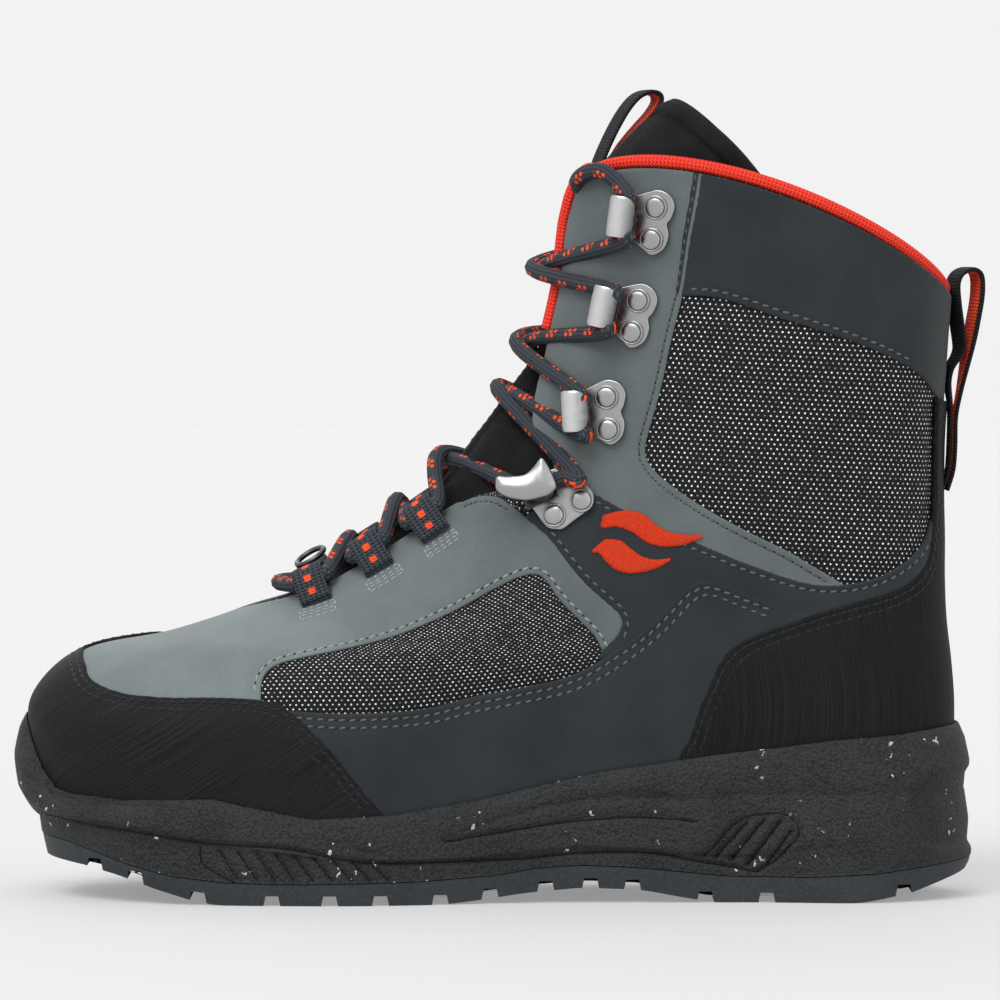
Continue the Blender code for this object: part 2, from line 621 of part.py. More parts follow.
def cut_channels(obj):
    """Two channels along the sole that part its lugs into rows."""
    stations = np.array([share for share, _ in FLOOR_LINE[3:-3]]) * SOLE_LENGTH
    points, faces = [], []
    for side in (1, -1):
        start = len(points)
        for x in stations:
            middle = side * CHANNEL_REACH - 0.05 * BALL_WIDTH * ease(x / SOLE_LENGTH)
            for y in (middle - CHANNEL_WIDTH / 2, middle + CHANNEL_WIDTH / 2):
                points += [(x, y, floor_at(x) - BALL_WIDTH / 8), (x, y, floor_at(x) + LUG_DEPTH * 0.8)]
        for i in range(len(stations) - 1):
            a, b = start + 4 * i, start + 4 * i + 4
            faces += [(a, a + 1, b + 1, b), (a + 2, b + 2, b + 3, a + 3), (a, b, b + 2, a + 2),
                      (a + 1, a + 3, b + 3, b + 1)]
        end = start + 4 * len(stations) - 4
        faces += [(start, start + 2, start + 3, start + 1), (end, end + 1, end + 3, end + 2)]
    boolean(obj, add_object("cutter", to_frame(np.array(points)), faces), "DIFFERENCE")


def build_insole():
    turn = ring_turns()
    ring = on_last(turn, 0 * turn, np.full(COLUMNS, -WALL - FACET))
    low, high = ring.copy(), ring.copy()
    low[:, 2] = bed_height(ring[:, 0]) + GAP
    high[:, 2] = low[:, 2] + INSOLE_THICKNESS
    ring_solid("insole", [low, high], "insole")


def tongue_point(across, level, depth):
    """Point on the tongue: across runs from -1 to 1, and levels past the collar lean back."""
    within = np.minimum(level, TOP)
    past = np.maximum(level - TOP, 0)
    half = throat_half(within) * (1 - 0.2 * past)
    edge = turn_at(within, half + TONGUE_OVERLAP)
    turn = 0.5 + across * (0.5 - edge)
    open_share = (half - 2 * PIPING_RADIUS) / (half + TONGUE_OVERLAP)
    raised = ease((open_share - 0.14 - np.abs(across)) / 0.25) * ease((level - 4.9) / 0.4) * (1 - past)
    clear = wall_at(within) + GAP + 2 * FACET
    point = on_last(turn, within, -clear + (clear + TONGUE_PROUD) * raised - depth)
    rise = TONGUE_RISE + (TONGUE_EDGE_RISE - TONGUE_RISE) * across**2
    point[..., 0] += TONGUE_LEAN * SOLE_LENGTH * past
    point[..., 2] += rise * COLLAR_HEIGHT * past
    return point


def build_tongue():
    across, level = np.meshgrid(np.linspace(-1, 1, TONGUE_COLUMNS + 1), TONGUE_LEVELS)
    skins = [tongue_point(across, level, depth) for depth in (0.0, TONGUE_THICKNESS)]
    sheet_solid("tongue", *skins, "tongue")


def sheet_solid(name, outer, inner, finish):
    """Closes two grids of points of the same size into one sheet."""
    rows, columns = outer.shape[:2]
    far = rows * columns
    points = np.concatenate([outer.reshape(-1, 3), inner.reshape(-1, 3)])
    faces = []
    for i in range(rows - 1):
        for j in range(columns - 1):
            a = i * columns + j
            b, c, d = a + 1, a + columns + 1, a + columns
            faces += [(a, b, c, d), (far + a, far + d, far + c, far + b)]
    edge = [(i, 0) for i in range(rows)] + [(rows - 1, j) for j in range(1, columns)]
    edge += [(i, columns - 1) for i in range(rows - 2, -1, -1)] + [(0, j) for j in range(columns - 2, 0, -1)]
    index = [i * columns + j for i, j in edge]
    for a, b in zip(index, index[1:] + index[:1]):
        faces.append((a, b, far + b, far + a))
    return add_object(name, to_frame(points), faces, finish)


def tube(name, path, radius, finish, sides=6, closed=False):
    """A round cord along a path, measured from the back of the sole."""
    path = np.array(path)
    count = len(path)
    ahead = np.roll(path, -1, axis=0) - np.roll(path, 1, axis=0)
    if not closed:
        ahead[0], ahead[-1] = path[1] - path[0], path[-1] - path[-2]
    ahead = ahead / np.linalg.norm(ahead, axis=1, keepdims=True)
    normal = np.cross(ahead[0], (0.3, 0.2, 1.0))
    points = []
    for centre, direction in zip(path, ahead):
        normal = normal - direction * np.dot(normal, direction)
        normal = normal / np.linalg.norm(normal)
        side = np.cross(direction, normal)
        for k in range(sides):
            angle = 2 * np.pi * k / sides
            points.append(centre + (normal * np.cos(angle) + side * np.sin(angle)) * radius)
    faces = []
    for i in range(count if closed else count - 1):
        for k in range(sides):
            a, b = i * sides, (i + 1) % count * sides
            faces.append((a + k, a + (k + 1) % sides, b + (k + 1) % sides, b + k))
    if not closed:
        faces += [tuple(range(sides))[::-1], tuple(range((count - 1) * sides, count * sides))]
    return add_object(name, to_frame(np.array(points)), faces, finish)


def throat_axes(turn, level):
    """Directions towards the throat, up along its edge and out of the upper."""
    side = np.sign(turn)
    near, far = level - 0.15, min(level + 0.15, TOP)
    edge = last_point(side * throat_turn(far), far) - last_point(side * throat_turn(near), near)
    out = last_axes(np.array(turn), level)[2]
    forward = np.cross(out, edge) * side
    forward = forward / np.linalg.norm(forward)
    return np.stack([forward, np.cross(forward, out) * side, out])


def build_piping():
    """A round binding up the throat's edge, round the collar and down the other side."""
    levels = [level for level in LEVELS if level > 8.5]
    turns = np.linspace(1, -1, COLUMNS + 1)[1:-1] * throat_turn(TOP)
    path = [edge_point(1, level) for level in levels]
    for turn in turns:
        _, up, out = last_axes(turn, TOP)
        path.append(last_point(turn, TOP) - out * wall_at(TOP) / 2 + up * (PIPING_RADIUS + 3 * GAP))
    path += [edge_point(-1, level) for level in levels[::-1]]
    tube("collar_piping", path, PIPING_RADIUS, "orange")


def edge_point(side, level):
    """Centre of the piping beside the throat's edge."""
    turn = side * throat_turn(level)
    forward, up, out = throat_axes(turn, level)
    lift = up * 1.2 * PIPING_RADIUS if level == TOP else 0
    return last_point(turn, level) - out * wall_at(level) / 2 + forward * (PIPING_RADIUS + 3 * GAP) + lift


def place(points, origin, axes):
    return origin + np.array(points) @ axes


def strip(name, path, width, thickness, origin, axes, finish):
    """Folded flat stock: its path runs in the first and third axes, its width along the second."""
    path = np.array(path)
    ahead = np.diff(path, axis=0)
    ahead = ahead / np.linalg.norm(ahead, axis=1, keepdims=True)
    normals = np.stack([-ahead[:, 1], ahead[:, 0]], 1)
    before, after = np.vstack([normals[:1], normals]), np.vstack([normals, normals[-1:]])
    mitre = (before + after) / (1 + np.sum(before * after, axis=1, keepdims=True))
    grids = []
    for offset in (thickness / 2, -thickness / 2):
        side = path + mitre * offset
        grid = [[place((x, y, z), origin, axes) for y in (-width / 2, width / 2)] for x, z in side]
        grids.append(np.array(grid))
    return sheet_solid(name, *grids, finish)


def hook_plate(name, origin, axes, base, finish):
    """Flat plate with a lobe round each rivet and a neck towards the bend."""
    outline = [(PLATE_NECK, HOOK_WIDTH / 2)]
    for angle in LOBE_ANGLES:
        turned = math.radians(angle)
        outline.append((PLATE_LOBE * math.cos(turned), RIVET_REACH + PLATE_LOBE * math.sin(turned)))
    outline.append((-PLATE_NOTCH, 0))
    outline += [(x, -y) for x, y in outline[-2::-1]]
    count = len(outline)
    points = [(x, y, z) for z in (base, base + HOOK_METAL) for x, y in outline]
    faces = [(i, (i + 1) % count, count + (i + 1) % count, count + i) for i in range(count)]
    faces += [tuple(range(count))[::-1], tuple(range(count, 2 * count))]
    return add_object(name, to_frame(place(points, origin, axes)), faces, finish)


def build_rivet(name, centre, axes):
    sides = 7
    profile = ((1.0, 0.0), (1.0, 0.35), (0.72, 0.8), (0.0, 1.0))
    points = []
    for radius, height in profile[:-1]:
        for k in range(sides):
            angle = 2 * np.pi * k / sides
            points.append((radius * RIVET_RADIUS * math.cos(angle), radius * RIVET_RADIUS * math.sin(angle),
                           height * RIVET_HEIGHT))
    points.append((0, 0, RIVET_HEIGHT))
    faces = [tuple(range(sides))[::-1]]
    for i in range(len(profile) - 2):
        for k in range(sides):
            a, b = i * sides + k, i * sides + (k + 1) % sides
            faces.append((a, b, b + sides, a + sides))
    crown = (len(profile) - 2) * sides
    faces += [(crown + k, crown + (k + 1) % sides, len(points) - 1) for k in range(sides)]
    add_object(name, to_frame(place(points, centre, axes)), faces, "metal")


def build_lacing():
    number = 0
    for kind, level, place_turn in LACING:
        number += 1
        for side, word in ((1, "outer"), (-1, "inner")):
            turn = side * (place_turn or throat_turn(level, -MM))
            origin, axes = last_point(turn, level), throat_axes(turn, level)
            if kind == "loop":
                strip(f"lace_loop_{number}_{word}", np.array(LOOP_FOLD) * MM, LOOP_WIDTH, WEBBING, origin, axes, "lace")
                continue
            name = f"lace_hook_{number}_{word}"
            bend = LOCK_BEND if kind == "lock" else HOOK_BEND
            base = PANEL + 2 * GAP + GAP
            plate = hook_plate(name, origin, axes, base, "metal")
            curl = strip("curl", np.array(bend) * MM, HOOK_WIDTH, HOOK_METAL, origin, axes, "metal")
            boolean(plate, curl, "UNION")
            for reach, place_word in ((RIVET_REACH, "upper"), (-RIVET_REACH, "lower")):
                centre = place((0, reach, base + HOOK_METAL + GAP), origin, axes)
                build_rivet(f"rivet_{number}_{place_word}_{word}", centre, axes)


def lace_point(level, across):
    """Point of a lace over the throat: across is a share of BALL_WIDTH, outer side above 0."""
    turn = turn_at(level, np.abs(across) * BALL_WIDTH)
    offset = PANEL_GAP + PANEL + GAP + LACE_RADIUS + np.abs(across) * BALL_WIDTH * LACE_LIFT
    return on_last(np.where(np.asarray(across) < 0, -turn, turn), level, offset + 0 * np.asarray(level))


def build_laces():
    rows = list(zip(LACE_ROWS, LACE_STARTS))
    steps = np.linspace(0, 1, 5)
    for i, ((low, low_start), (high, high_start)) in enumerate(zip(rows, rows[1:])):
        strands = []
        for side in (1, -1):
            levels = low + (high - low) * (0.14 + 0.72 * steps)
            across = side * (low_start + (-high_start - low_start) * steps)
            strands.append(tube(f"lace_cross_{i + 1}", lace_point(levels, across), LACE_RADIUS, "lace"))
        boolean(strands[0], strands[1], "UNION")
    for name, level, reach in (("lace_bar", LACE_BASE, 0.060), ("lace_top", 10.45, 0.165)):
        across = np.linspace(-reach, reach, 9)
        tube(name, lace_point(np.full(9, level), across), LACE_RADIUS, "lace")


def build_pull_loops():
    axes = np.array([(1, 0, 0), (0, 1, 0), (0, 0, 1)], float)
    size = (SOLE_LENGTH, COLLAR_HEIGHT)
    strip("tongue_loop", np.array(TONGUE_LOOP) * size, PULL_WIDTH, WEBBING, np.zeros(3), axes, "lace")
    strip("heel_loop", np.array(HEEL_LOOP) * size, PULL_WIDTH, WEBBING, np.zeros(3), axes, "lace")


def build_guard_ring():
    """A wire ring for a gaiter hook, held by the lowest bar of the lace."""
    centre = lace_point(LACE_BASE, np.array(0.03))
    angles = np.linspace(0, 2 * np.pi, 10, endpoint=False)
    path = [centre + RING_RADIUS * np.array([math.cos(angle), 0, math.sin(angle)]) for angle in angles]
    tube("guard_ring", path, RING_WIRE, "metal", sides=5, closed=True)


def main():
    clear_scene()
    shell("upper", lambda level: -wall_at(level), lambda level: 0 * level, "base")
    build_panels()
    build_midsole()
    build_outsole()
    build_insole()
    build_tongue()
    build_piping()
    build_lacing()
    build_laces()
    build_pull_loops()
    build_guard_ring()


main()
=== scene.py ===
"""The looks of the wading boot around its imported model: materials, sewn overlays, cords, metal and soles."""

import math

import bmesh
import bpy
import numpy as np
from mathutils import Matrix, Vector
from mathutils.bvhtree import BVHTree
from mathutils.geometry import delaunay_2d_cdt
from mathutils.kdtree import KDTree


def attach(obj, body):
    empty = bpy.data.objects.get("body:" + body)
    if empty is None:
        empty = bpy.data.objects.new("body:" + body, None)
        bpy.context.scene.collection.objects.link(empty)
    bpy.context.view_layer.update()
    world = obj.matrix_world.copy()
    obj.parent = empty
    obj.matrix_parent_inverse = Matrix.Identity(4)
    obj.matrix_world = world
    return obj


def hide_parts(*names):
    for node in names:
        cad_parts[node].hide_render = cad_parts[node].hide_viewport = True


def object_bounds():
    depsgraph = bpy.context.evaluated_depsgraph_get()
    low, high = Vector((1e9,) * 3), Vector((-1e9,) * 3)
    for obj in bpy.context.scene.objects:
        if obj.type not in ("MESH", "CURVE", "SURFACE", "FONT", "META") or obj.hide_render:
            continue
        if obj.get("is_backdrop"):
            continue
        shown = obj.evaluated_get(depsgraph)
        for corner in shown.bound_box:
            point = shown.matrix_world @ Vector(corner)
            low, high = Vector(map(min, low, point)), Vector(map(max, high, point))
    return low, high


MM = 0.001

# Driving sizes, the same as in the part
SOLE_LENGTH = 312.5 * MM
COLLAR_HEIGHT = 236 * MM
BALL_WIDTH = 100 * MM
HEEL_STACK = 35 * MM
BALL_STACK = 19 * MM
TOE_STACK = 26.5 * MM
LUG_DEPTH = 3.2 * MM
SLOT_WIDTH = 4.5 * MM
CHANNEL_WIDTH = 3.6 * MM
CHANNEL_REACH = 14 * MM
WALL = 2.6 * MM
COLLAR_WALL = 4.6 * MM
GAP = 0.3 * MM
FACET = 0.6 * MM
INSOLE_THICKNESS = 4 * MM
TONGUE_THICKNESS = 5 * MM
TONGUE_OVERLAP = 12 * MM
PIPING_RADIUS = 2.2 * MM
LACE_RADIUS = 2.6 * MM
CUP_CLEARANCE = 2.3 * MM
HEEL_CENTRE = 0.19

# Sections of the last, from the feather edge up to the collar. Each one is a slanted
# plane from a point on the back of the boot to a point on its front or instep.
# x is a share of SOLE_LENGTH, z of COLLAR_HEIGHT, and half widths are of BALL_WIDTH.
# round is the share of a section over which its end closes, and arch lifts its middle.
SECTION_COLUMNS = (
    "back_x", "back_z", "front_x", "front_z", "front_y",
    "heel", "waist_out", "waist_in", "fore_out", "fore_in",
    "rear_round", "front_round", "front_power", "arch", "on_bed",
)
SECTIONS = (
    # Feather edge, rim, side bulge and toe top
    (0.040, 0.170, 0.949, 0.140, -0.085, 0.310, 0.350, 0.280, 0.490, 0.445, 0.14, 0.27, 2.40, 0.000, 1),
    (0.030, 0.205, 0.978, 0.225, -0.085, 0.340, 0.370, 0.310, 0.505, 0.465, 0.14, 0.27, 2.40, 0.000, 0),
    (0.028, 0.262, 0.972, 0.280, -0.085, 0.350, 0.380, 0.325, 0.490, 0.460, 0.14, 0.31, 2.30, 0.000, 0),
    (0.031, 0.320, 0.924, 0.332, -0.080, 0.345, 0.375, 0.330, 0.465, 0.440, 0.15, 0.38, 2.20, 0.000, 0),
    # Vamp, throat base, instep and ankle
    (0.036, 0.378, 0.834, 0.358, -0.070, 0.333, 0.370, 0.330, 0.430, 0.410, 0.16, 0.45, 2.15, 0.000, 0),
    (0.038, 0.435, 0.736, 0.405, -0.055, 0.330, 0.370, 0.340, 0.395, 0.375, 0.18, 0.45, 2.15, 0.000, 0),
    (0.038, 0.492, 0.630, 0.488, -0.035, 0.340, 0.380, 0.360, 0.365, 0.350, 0.21, 0.43, 2.15, 0.000, 0),
    (0.039, 0.560, 0.539, 0.583, -0.015, 0.355, 0.390, 0.375, 0.355, 0.345, 0.26, 0.43, 2.15, 0.005, 0),
    # Shaft and collar
    (0.038, 0.635, 0.472, 0.697, 0.000, 0.370, 0.400, 0.390, 0.370, 0.365, 0.31, 0.44, 2.15, 0.020, 0),
    (0.034, 0.708, 0.443, 0.805, 0.000, 0.385, 0.410, 0.400, 0.385, 0.380, 0.35, 0.46, 2.15, 0.045, 0),
    (0.031, 0.768, 0.435, 0.880, 0.000, 0.400, 0.420, 0.410, 0.400, 0.395, 0.37, 0.47, 2.15, 0.070, 0),
    (0.028, 0.822, 0.431, 0.930, 0.000, 0.410, 0.430, 0.420, 0.410, 0.405, 0.38, 0.48, 2.15, 0.098, 0),
)
TOP = len(SECTIONS) - 1
# Shares of the length at which the half widths and the cup's bed change from one to the next
HEEL_SHARE = 0.15
WAIST_SHARE = 0.42
FORE_SHARE = 0.70
BED_FALL = (0.22, 0.62)
BED_RISE = (0.78, 1.00)
REAR_POWER = 2.2
FRONT_BEND = 2.5
# Levels over which the wall thickens into the padded collar
PADDED_LEVELS = (6, 10)
# The arch of the collar line peaks nearer the front
ARCH_REAR_POWER = 0.75
ARCH_FRONT_POWER = 0.45

# Half width of the throat up the boot: level among the sections, share of BALL_WIDTH
THROAT_BASE = 4.7
THROAT = (
    (4.7, 0.000), (4.85, 0.080), (5.0, 0.140), (5.2, 0.185), (5.9, 0.190), (6.5, 0.202), (6.7, 0.230),
    (6.85, 0.300), (7.1, 0.303), (7.4, 0.250), (7.9, 0.180), (8.5, 0.145), (9.4, 0.140), (10.2, 0.150),
    (11.0, 0.210),
)

# Heights along the sole: x as a share of SOLE_LENGTH, then share of COLLAR_HEIGHT
RIM_LINE = (
    (0.000, 0.236), (0.070, 0.226), (0.140, 0.220), (0.265, 0.202), (0.390, 0.177), (0.500, 0.143),
    (0.600, 0.121), (0.680, 0.116), (0.720, 0.127), (0.780, 0.143), (0.900, 0.139), (0.945, 0.143),
    (0.965, 0.144), (0.980, 0.150), (0.990, 0.176), (0.997, 0.218), (1.000, 0.246),
)
STEP_LINE = (
    (0.000, 0.102), (0.240, 0.063), (0.290, 0.066), (0.410, 0.077), (0.530, 0.062), (0.650, 0.060),
    (0.750, 0.078), (0.850, 0.088), (0.930, 0.105), (0.975, 0.109), (1.000, 0.111),
)
SOLE_LINE = (
    (0.000, 0.056), (0.045, 0.048), (0.085, 0.041), (0.160, 0.036), (0.260, 0.037), (0.360, 0.050),
    (0.410, 0.053), (0.460, 0.049), (0.500, 0.040), (0.580, 0.033), (0.700, 0.030), (0.780, 0.032),
    (0.850, 0.040), (0.905, 0.056), (0.945, 0.072), (0.970, 0.081), (1.000, 0.086),
)
FLOOR_LINE = (
    (0.000, 0.038), (0.020, 0.028), (0.050, 0.013), (0.080, 0.005), (0.105, 0.000), (0.275, 0.000),
    (0.310, 0.008), (0.350, 0.018), (0.410, 0.021), (0.470, 0.014), (0.520, 0.005), (0.555, 0.000),
    (0.790, 0.000), (0.825, 0.007), (0.870, 0.021), (0.915, 0.038), (0.955, 0.049), (1.000, 0.056),
)

# Side wall of the midsole from its foot to its rim. share runs from one line to the next,
# and toe, side and heel are how many MM the wall stands proud of the last there.
MIDSOLE_WALL = (
    # above_step, share, toe, side, heel
    (0, 0.00, 7.4, 4.6, 11.4),
    (0, 0.95, 8.2, 5.0, 12.2),
    (1, 0.04, 8.9, 5.9, 12.2),
    (1, 0.30, 10.0, 5.9, 11.0),
    (1, 0.56, 8.9, 5.4, 8.8),
    (1, 0.63, 8.4, 5.2, 8.3),
    (1, 0.86, 5.6, 4.4, 5.8),
    (1, 1.00, 2.9, 3.1, 3.6),
)
CUP_ROWS = 5
# Shares of the length over which the wall's columns change, and the sole reaches past the last
WALL_TOE = (0.80, 0.96)
WALL_HEEL = (0.03, 0.25)
END_SHARE = 0.25

# Across the outsole, as shares of SOLE_LENGTH from the back
SLOTS = (
    0.079, 0.220, 0.283, 0.358, 0.401, 0.447, 0.504, 0.555, 0.616, 0.668, 0.727, 0.803, 0.868, 0.911,
)

# The tongue's lowest and highest level
TONGUE_LEVELS = (4.4, 12.0)

# How far the tongue's middle and edge run on past the collar, as shares of the length and height
TONGUE_LEAN = -0.098
TONGUE_RISE = 0.143
TONGUE_EDGE_RISE = 0.01125
# The ridge starts over these levels, and keeps clear of the throat's edge over shares of the width
RIDGE_LEVELS = (4.9, 5.3)
RIDGE_CLEAR = 0.14
RIDGE_SLOPE = 0.25

# Seams over the upper as (turn round the boot, level up it), on the outer side.
# The inner side mirrors them, apart from the toe cap, which reaches higher there.
TOE_EDGE = (
    (0.500, 2.98), (0.474, 2.88), (0.449, 2.66), (0.435, 2.44), (0.424, 2.28), (0.406, 2.10), (0.392, 2.02),
    (0.373, 2.00), (0.354, 2.04), (0.337, 2.03), (0.326, 1.94), (0.322, 1.78), (0.318, 1.62), (0.314, 1.40),
    (0.310, 1.16), (0.307, 0.98), (0.300, 0.76), (0.293, 0.55), (0.287, 0.35),
)
INNER_TOE_EDGE = (
    (0.500, 2.98), (0.512, 3.20), (0.522, 3.44), (0.537, 3.60), (0.560, 3.56), (0.596, 3.20), (0.630, 2.60),
    (0.655, 2.12), (0.674, 1.92), (0.679, 1.76), (0.686, 1.40), (0.700, 0.78), (0.710, 0.35),
)
WINDOW_TOP = (
    (0.333, 1.90), (0.336, 2.20), (0.340, 2.60), (0.340, 2.88), (0.335, 3.08), (0.327, 3.36), (0.321, 3.72),
    (0.316, 4.12), (0.313, 4.54), (0.311, 4.90), (0.309, 5.16), (0.305, 5.38), (0.298, 5.46), (0.288, 5.34),
    (0.275, 5.06), (0.252, 4.48), (0.233, 3.88), (0.222, 3.36),
)
GUARD_TOP = (
    (0.330, 1.84), (0.320, 1.78), (0.300, 1.74), (0.275, 1.86), (0.260, 2.14), (0.244, 2.38), (0.230, 2.62),
    (0.222, 2.96), (0.218, 3.42), (0.215, 3.96), (0.214, 4.60), (0.214, 5.00), (0.211, 5.20), (0.204, 5.24),
    (0.194, 5.12), (0.180, 4.90), (0.163, 4.62), (0.146, 4.38), (0.134, 4.22),
)
VAMP_REAR = (
    (0.343, 6.40), (0.318, 6.14), (0.300, 5.88), (0.276, 5.46), (0.252, 4.98), (0.235, 4.56), (0.227, 4.24),
    (0.223, 3.84), (0.222, 3.36),
)
VAMP_CORNER = ((0.409, 6.56), (0.398, 6.66), (0.380, 6.66), (0.360, 6.54), (0.343, 6.40))
ANKLE_TOP = (
    (0.335, 6.68), (0.327, 6.84), (0.312, 6.76), (0.268, 6.38), (0.222, 5.94), (0.186, 5.52), (0.152, 5.12),
    (0.131, 5.02), (0.110, 5.10), (0.091, 5.32), (0.070, 5.68), (0.057, 6.00), (0.044, 6.50),
)
ANKLE_REAR = (
    (0.044, 6.50), (0.042, 5.90), (0.046, 5.40), (0.056, 5.00), (0.070, 4.74), (0.090, 4.50), (0.115, 4.28),
    (0.132, 4.00), (0.150, 4.20), (0.180, 4.66), (0.200, 4.90), (0.208, 4.80), (0.209, 4.00), (0.212, 3.50),
    (0.222, 3.10),
)
EYESTAY_REAR = (
    (0.296, 11.00), (0.297, 10.60), (0.302, 9.84), (0.305, 9.10), (0.308, 8.38), (0.302, 7.60), (0.295, 7.28),
    (0.282, 7.08), (0.266, 6.90), (0.233, 6.54), (0.203, 6.20), (0.172, 5.82), (0.151, 5.48), (0.136, 5.22),
    (0.122, 4.94),
)
STRAP_UNDER = (
    (0.122, 4.94), (0.150, 4.86), (0.186, 5.26), (0.222, 5.66), (0.268, 6.10), (0.312, 6.46), (0.330, 6.46),
    (0.340, 6.70),
)
EYESTAY_FOOT = ((0.340, 6.70), (0.348, 6.90), (0.357, 7.12))
CUFF_LOW = (
    (0.312, 9.04), (0.300, 9.08), (0.275, 9.12), (0.227, 9.05), (0.199, 9.03), (0.169, 9.01), (0.135, 8.98),
    (0.104, 8.92), (0.076, 8.80), (0.055, 8.64), (0.030, 8.55), (0.000, 8.52),
)
COUNTER = (
    (0.189, 0.35), (0.184, 0.80), (0.179, 1.30), (0.176, 2.10), (0.174, 2.54), (0.173, 3.08), (0.170, 3.54),
    (0.163, 3.84), (0.150, 4.10), (0.139, 4.30), (0.116, 4.58), (0.092, 4.78), (0.073, 5.02), (0.061, 5.28),
    (0.053, 5.58), (0.049, 6.06), (0.046, 6.64), (0.045, 7.14), (0.048, 7.84), (0.052, 8.40), (0.054, 8.56),
)
CREASE = ((0.300, 7.98), (0.269, 7.86), (0.241, 7.76), (0.198, 7.56), (0.151, 7.36), (0.062, 7.28))
FOOT_LEVEL = 0.35
# Levels that the vamp runs on below the toe cap's edge
TOE_UNDERLAP = 0.28

# Embroidered waves on the outer and inner ankle
MOTIF = (
    ("upper", (
        (0.294, 6.44), (0.283, 6.52), (0.270, 6.46), (0.258, 6.30), (0.246, 6.18), (0.236, 6.14),
        (0.227, 6.14), (0.232, 5.99), (0.243, 5.93), (0.255, 6.00), (0.267, 6.16), (0.280, 6.26),
        (0.288, 6.24), (0.294, 6.44),
    )),
    ("lower", (
        (0.280, 6.06), (0.271, 6.04), (0.261, 5.90), (0.251, 5.76), (0.242, 5.70), (0.234, 5.72),
        (0.238, 5.52), (0.247, 5.44), (0.257, 5.50), (0.267, 5.66), (0.276, 5.82), (0.281, 5.84),
        (0.280, 6.06),
    )),
)

# Lacing points up each side: kind, level and turn. A loop sits at the throat's edge.
LACING = (
    ("loop", 5.25, None),
    ("loop", 5.78, None),
    ("loop", 6.33, None),
    ("lock", 6.56, 0.321),
    ("hook", 7.70, 0.338),
    ("hook", 8.75, 0.341),
    ("hook", 10.04, 0.334),
)

# Stitching: pitch and length of a stitch, length of the dark dash of painted shade at its needle hole, half
# its width, and how deep its seam sinks
STITCH_PITCH = 3.4 * MM
STITCH_LENGTH = 2.3 * MM
HOLE_SHADE_LENGTH = 1.5 * MM
THREAD = 0.36 * MM
SEAM_SINK = 0.36 * MM
SEAM_SPREAD = 0.7 * MM

# Rows of stitching: layer, thread, seam, MM to the left of the seam's run, and how the row repeats
STITCHING = (
    ("toe_cap", "dark", TOE_EDGE[:-1], (-1.7, -4.3), "once"),
    ("toe_cap", "dark", INNER_TOE_EDGE[:-1], (1.7, 4.3), "once"),
    ("vamp", "pale", WINDOW_TOP[1:], (2.0,), "front"),
    ("vamp", "grey", VAMP_CORNER[:4], (-1.8,), "front"),
    ("eyestay", "grey", EYESTAY_REAR[:-1], (-2.1,), "sides"),
    ("ankle", "steel", ANKLE_TOP[1:-1], (-2.0,), "sides"),
    ("ankle", "steel", VAMP_REAR[1:-1], (1.9,), "sides"),
    ("guard", "steel", GUARD_TOP[1:-2], (-2.1, -4.5), "sides"),
    ("cuff", "steel", CUFF_LOW[1:-4], (2.2,), "back"),
    ("heel_counter", "dark", COUNTER[1:], (-2.0, -4.6), "back"),
)
STITCH_SIDES = 6
# Along a stitch: place, share of its thickness and height over the seam
STITCH_PROFILE = (
    (-1.0, 0.35, -0.5), (-0.6, 0.90, 0.15), (0.0, 1.00, 0.55), (0.6, 0.90, 0.15), (1.0, 0.35, -0.5),
)
STITCH_SKEW = 0.16
# How far threads and the dashes of painted shade at each needle hole stand off a seam's sunk face
THREAD_LIFT = 0.05 * MM
HOLE_SHADE_LIFT = -0.12 * MM

# How far each sewn layer's outer face stands off the last, in MM
HEIGHTS = {
    "motif": 2.05, "vamp": 1.05, "eyestay": 1.05, "cuff": 0.95,
    "ankle": 1.4, "guard": 1.75, "heel_counter": 2.15, "toe_cap": 2.15,
}
# From the last to a layer's underside
PANEL_FOOT = 0.1 * MM
MOTIF_FOOT = 1.25 * MM
EDGE_ROUND = 0.8 * MM
# Rows of points inside a layer's edge, and the spacing of the rest
PANEL_RINGS = (0.3 * MM, 0.8 * MM, 1.5 * MM, 2.1 * MM, 2.8 * MM)
PLATE_RINGS = (0.12 * MM, 0.3 * MM, 0.55 * MM, 0.9 * MM, 1.4 * MM)
POINT_SPACING = 1.7 * MM
PLATE_SPACING = 0.9 * MM
# Metres of the last that one turn and one level stand for, roughly
DOMAIN = np.array([0.56, 0.0145])

# The padded fabric: how far it swells between layers and sinks along its creases
SWELL = 0.9 * MM
SWELL_REACH = 8 * MM
CREASE_DEPTH = 0.55 * MM
CREASE_REACH = 1.6 * MM
CLOTH_THICKNESS = 0.8 * MM
# On the shaft the rows of dots run nearly level: where it starts, and over how much
SHAFT_LEVEL = 5.2
SHAFT_TURN = 0.218
SHAFT_SLOPE = 8
SHAFT_BLEND = (-0.1, 0.2)
# Where distances along the cloth are measured
CLOTH_TURNS = np.linspace(-0.5, 1.0, 601)
CLOTH_LEVELS = np.linspace(0, TOP, 133)

# Weaves: dots of the mesh, marks of the loops, ribs and flecks of the lace
DOT_PITCH = 1.95 * MM
DOT_ROW = 1.5 * MM
DOT_RADIUS = 0.31 * MM
SHAFT_ROW_LEAN = -0.06
MARK_PITCH = 4.3 * MM
# Where along the boot the painted light that makes the pale leather paler towards the toe starts and ends to
# fade in, in the frame's metres
PAINTED_LIGHT_FROM = (0.085, 0.185)
LACE_RIBS = 11
FLECK_PITCH = 9.5 * MM

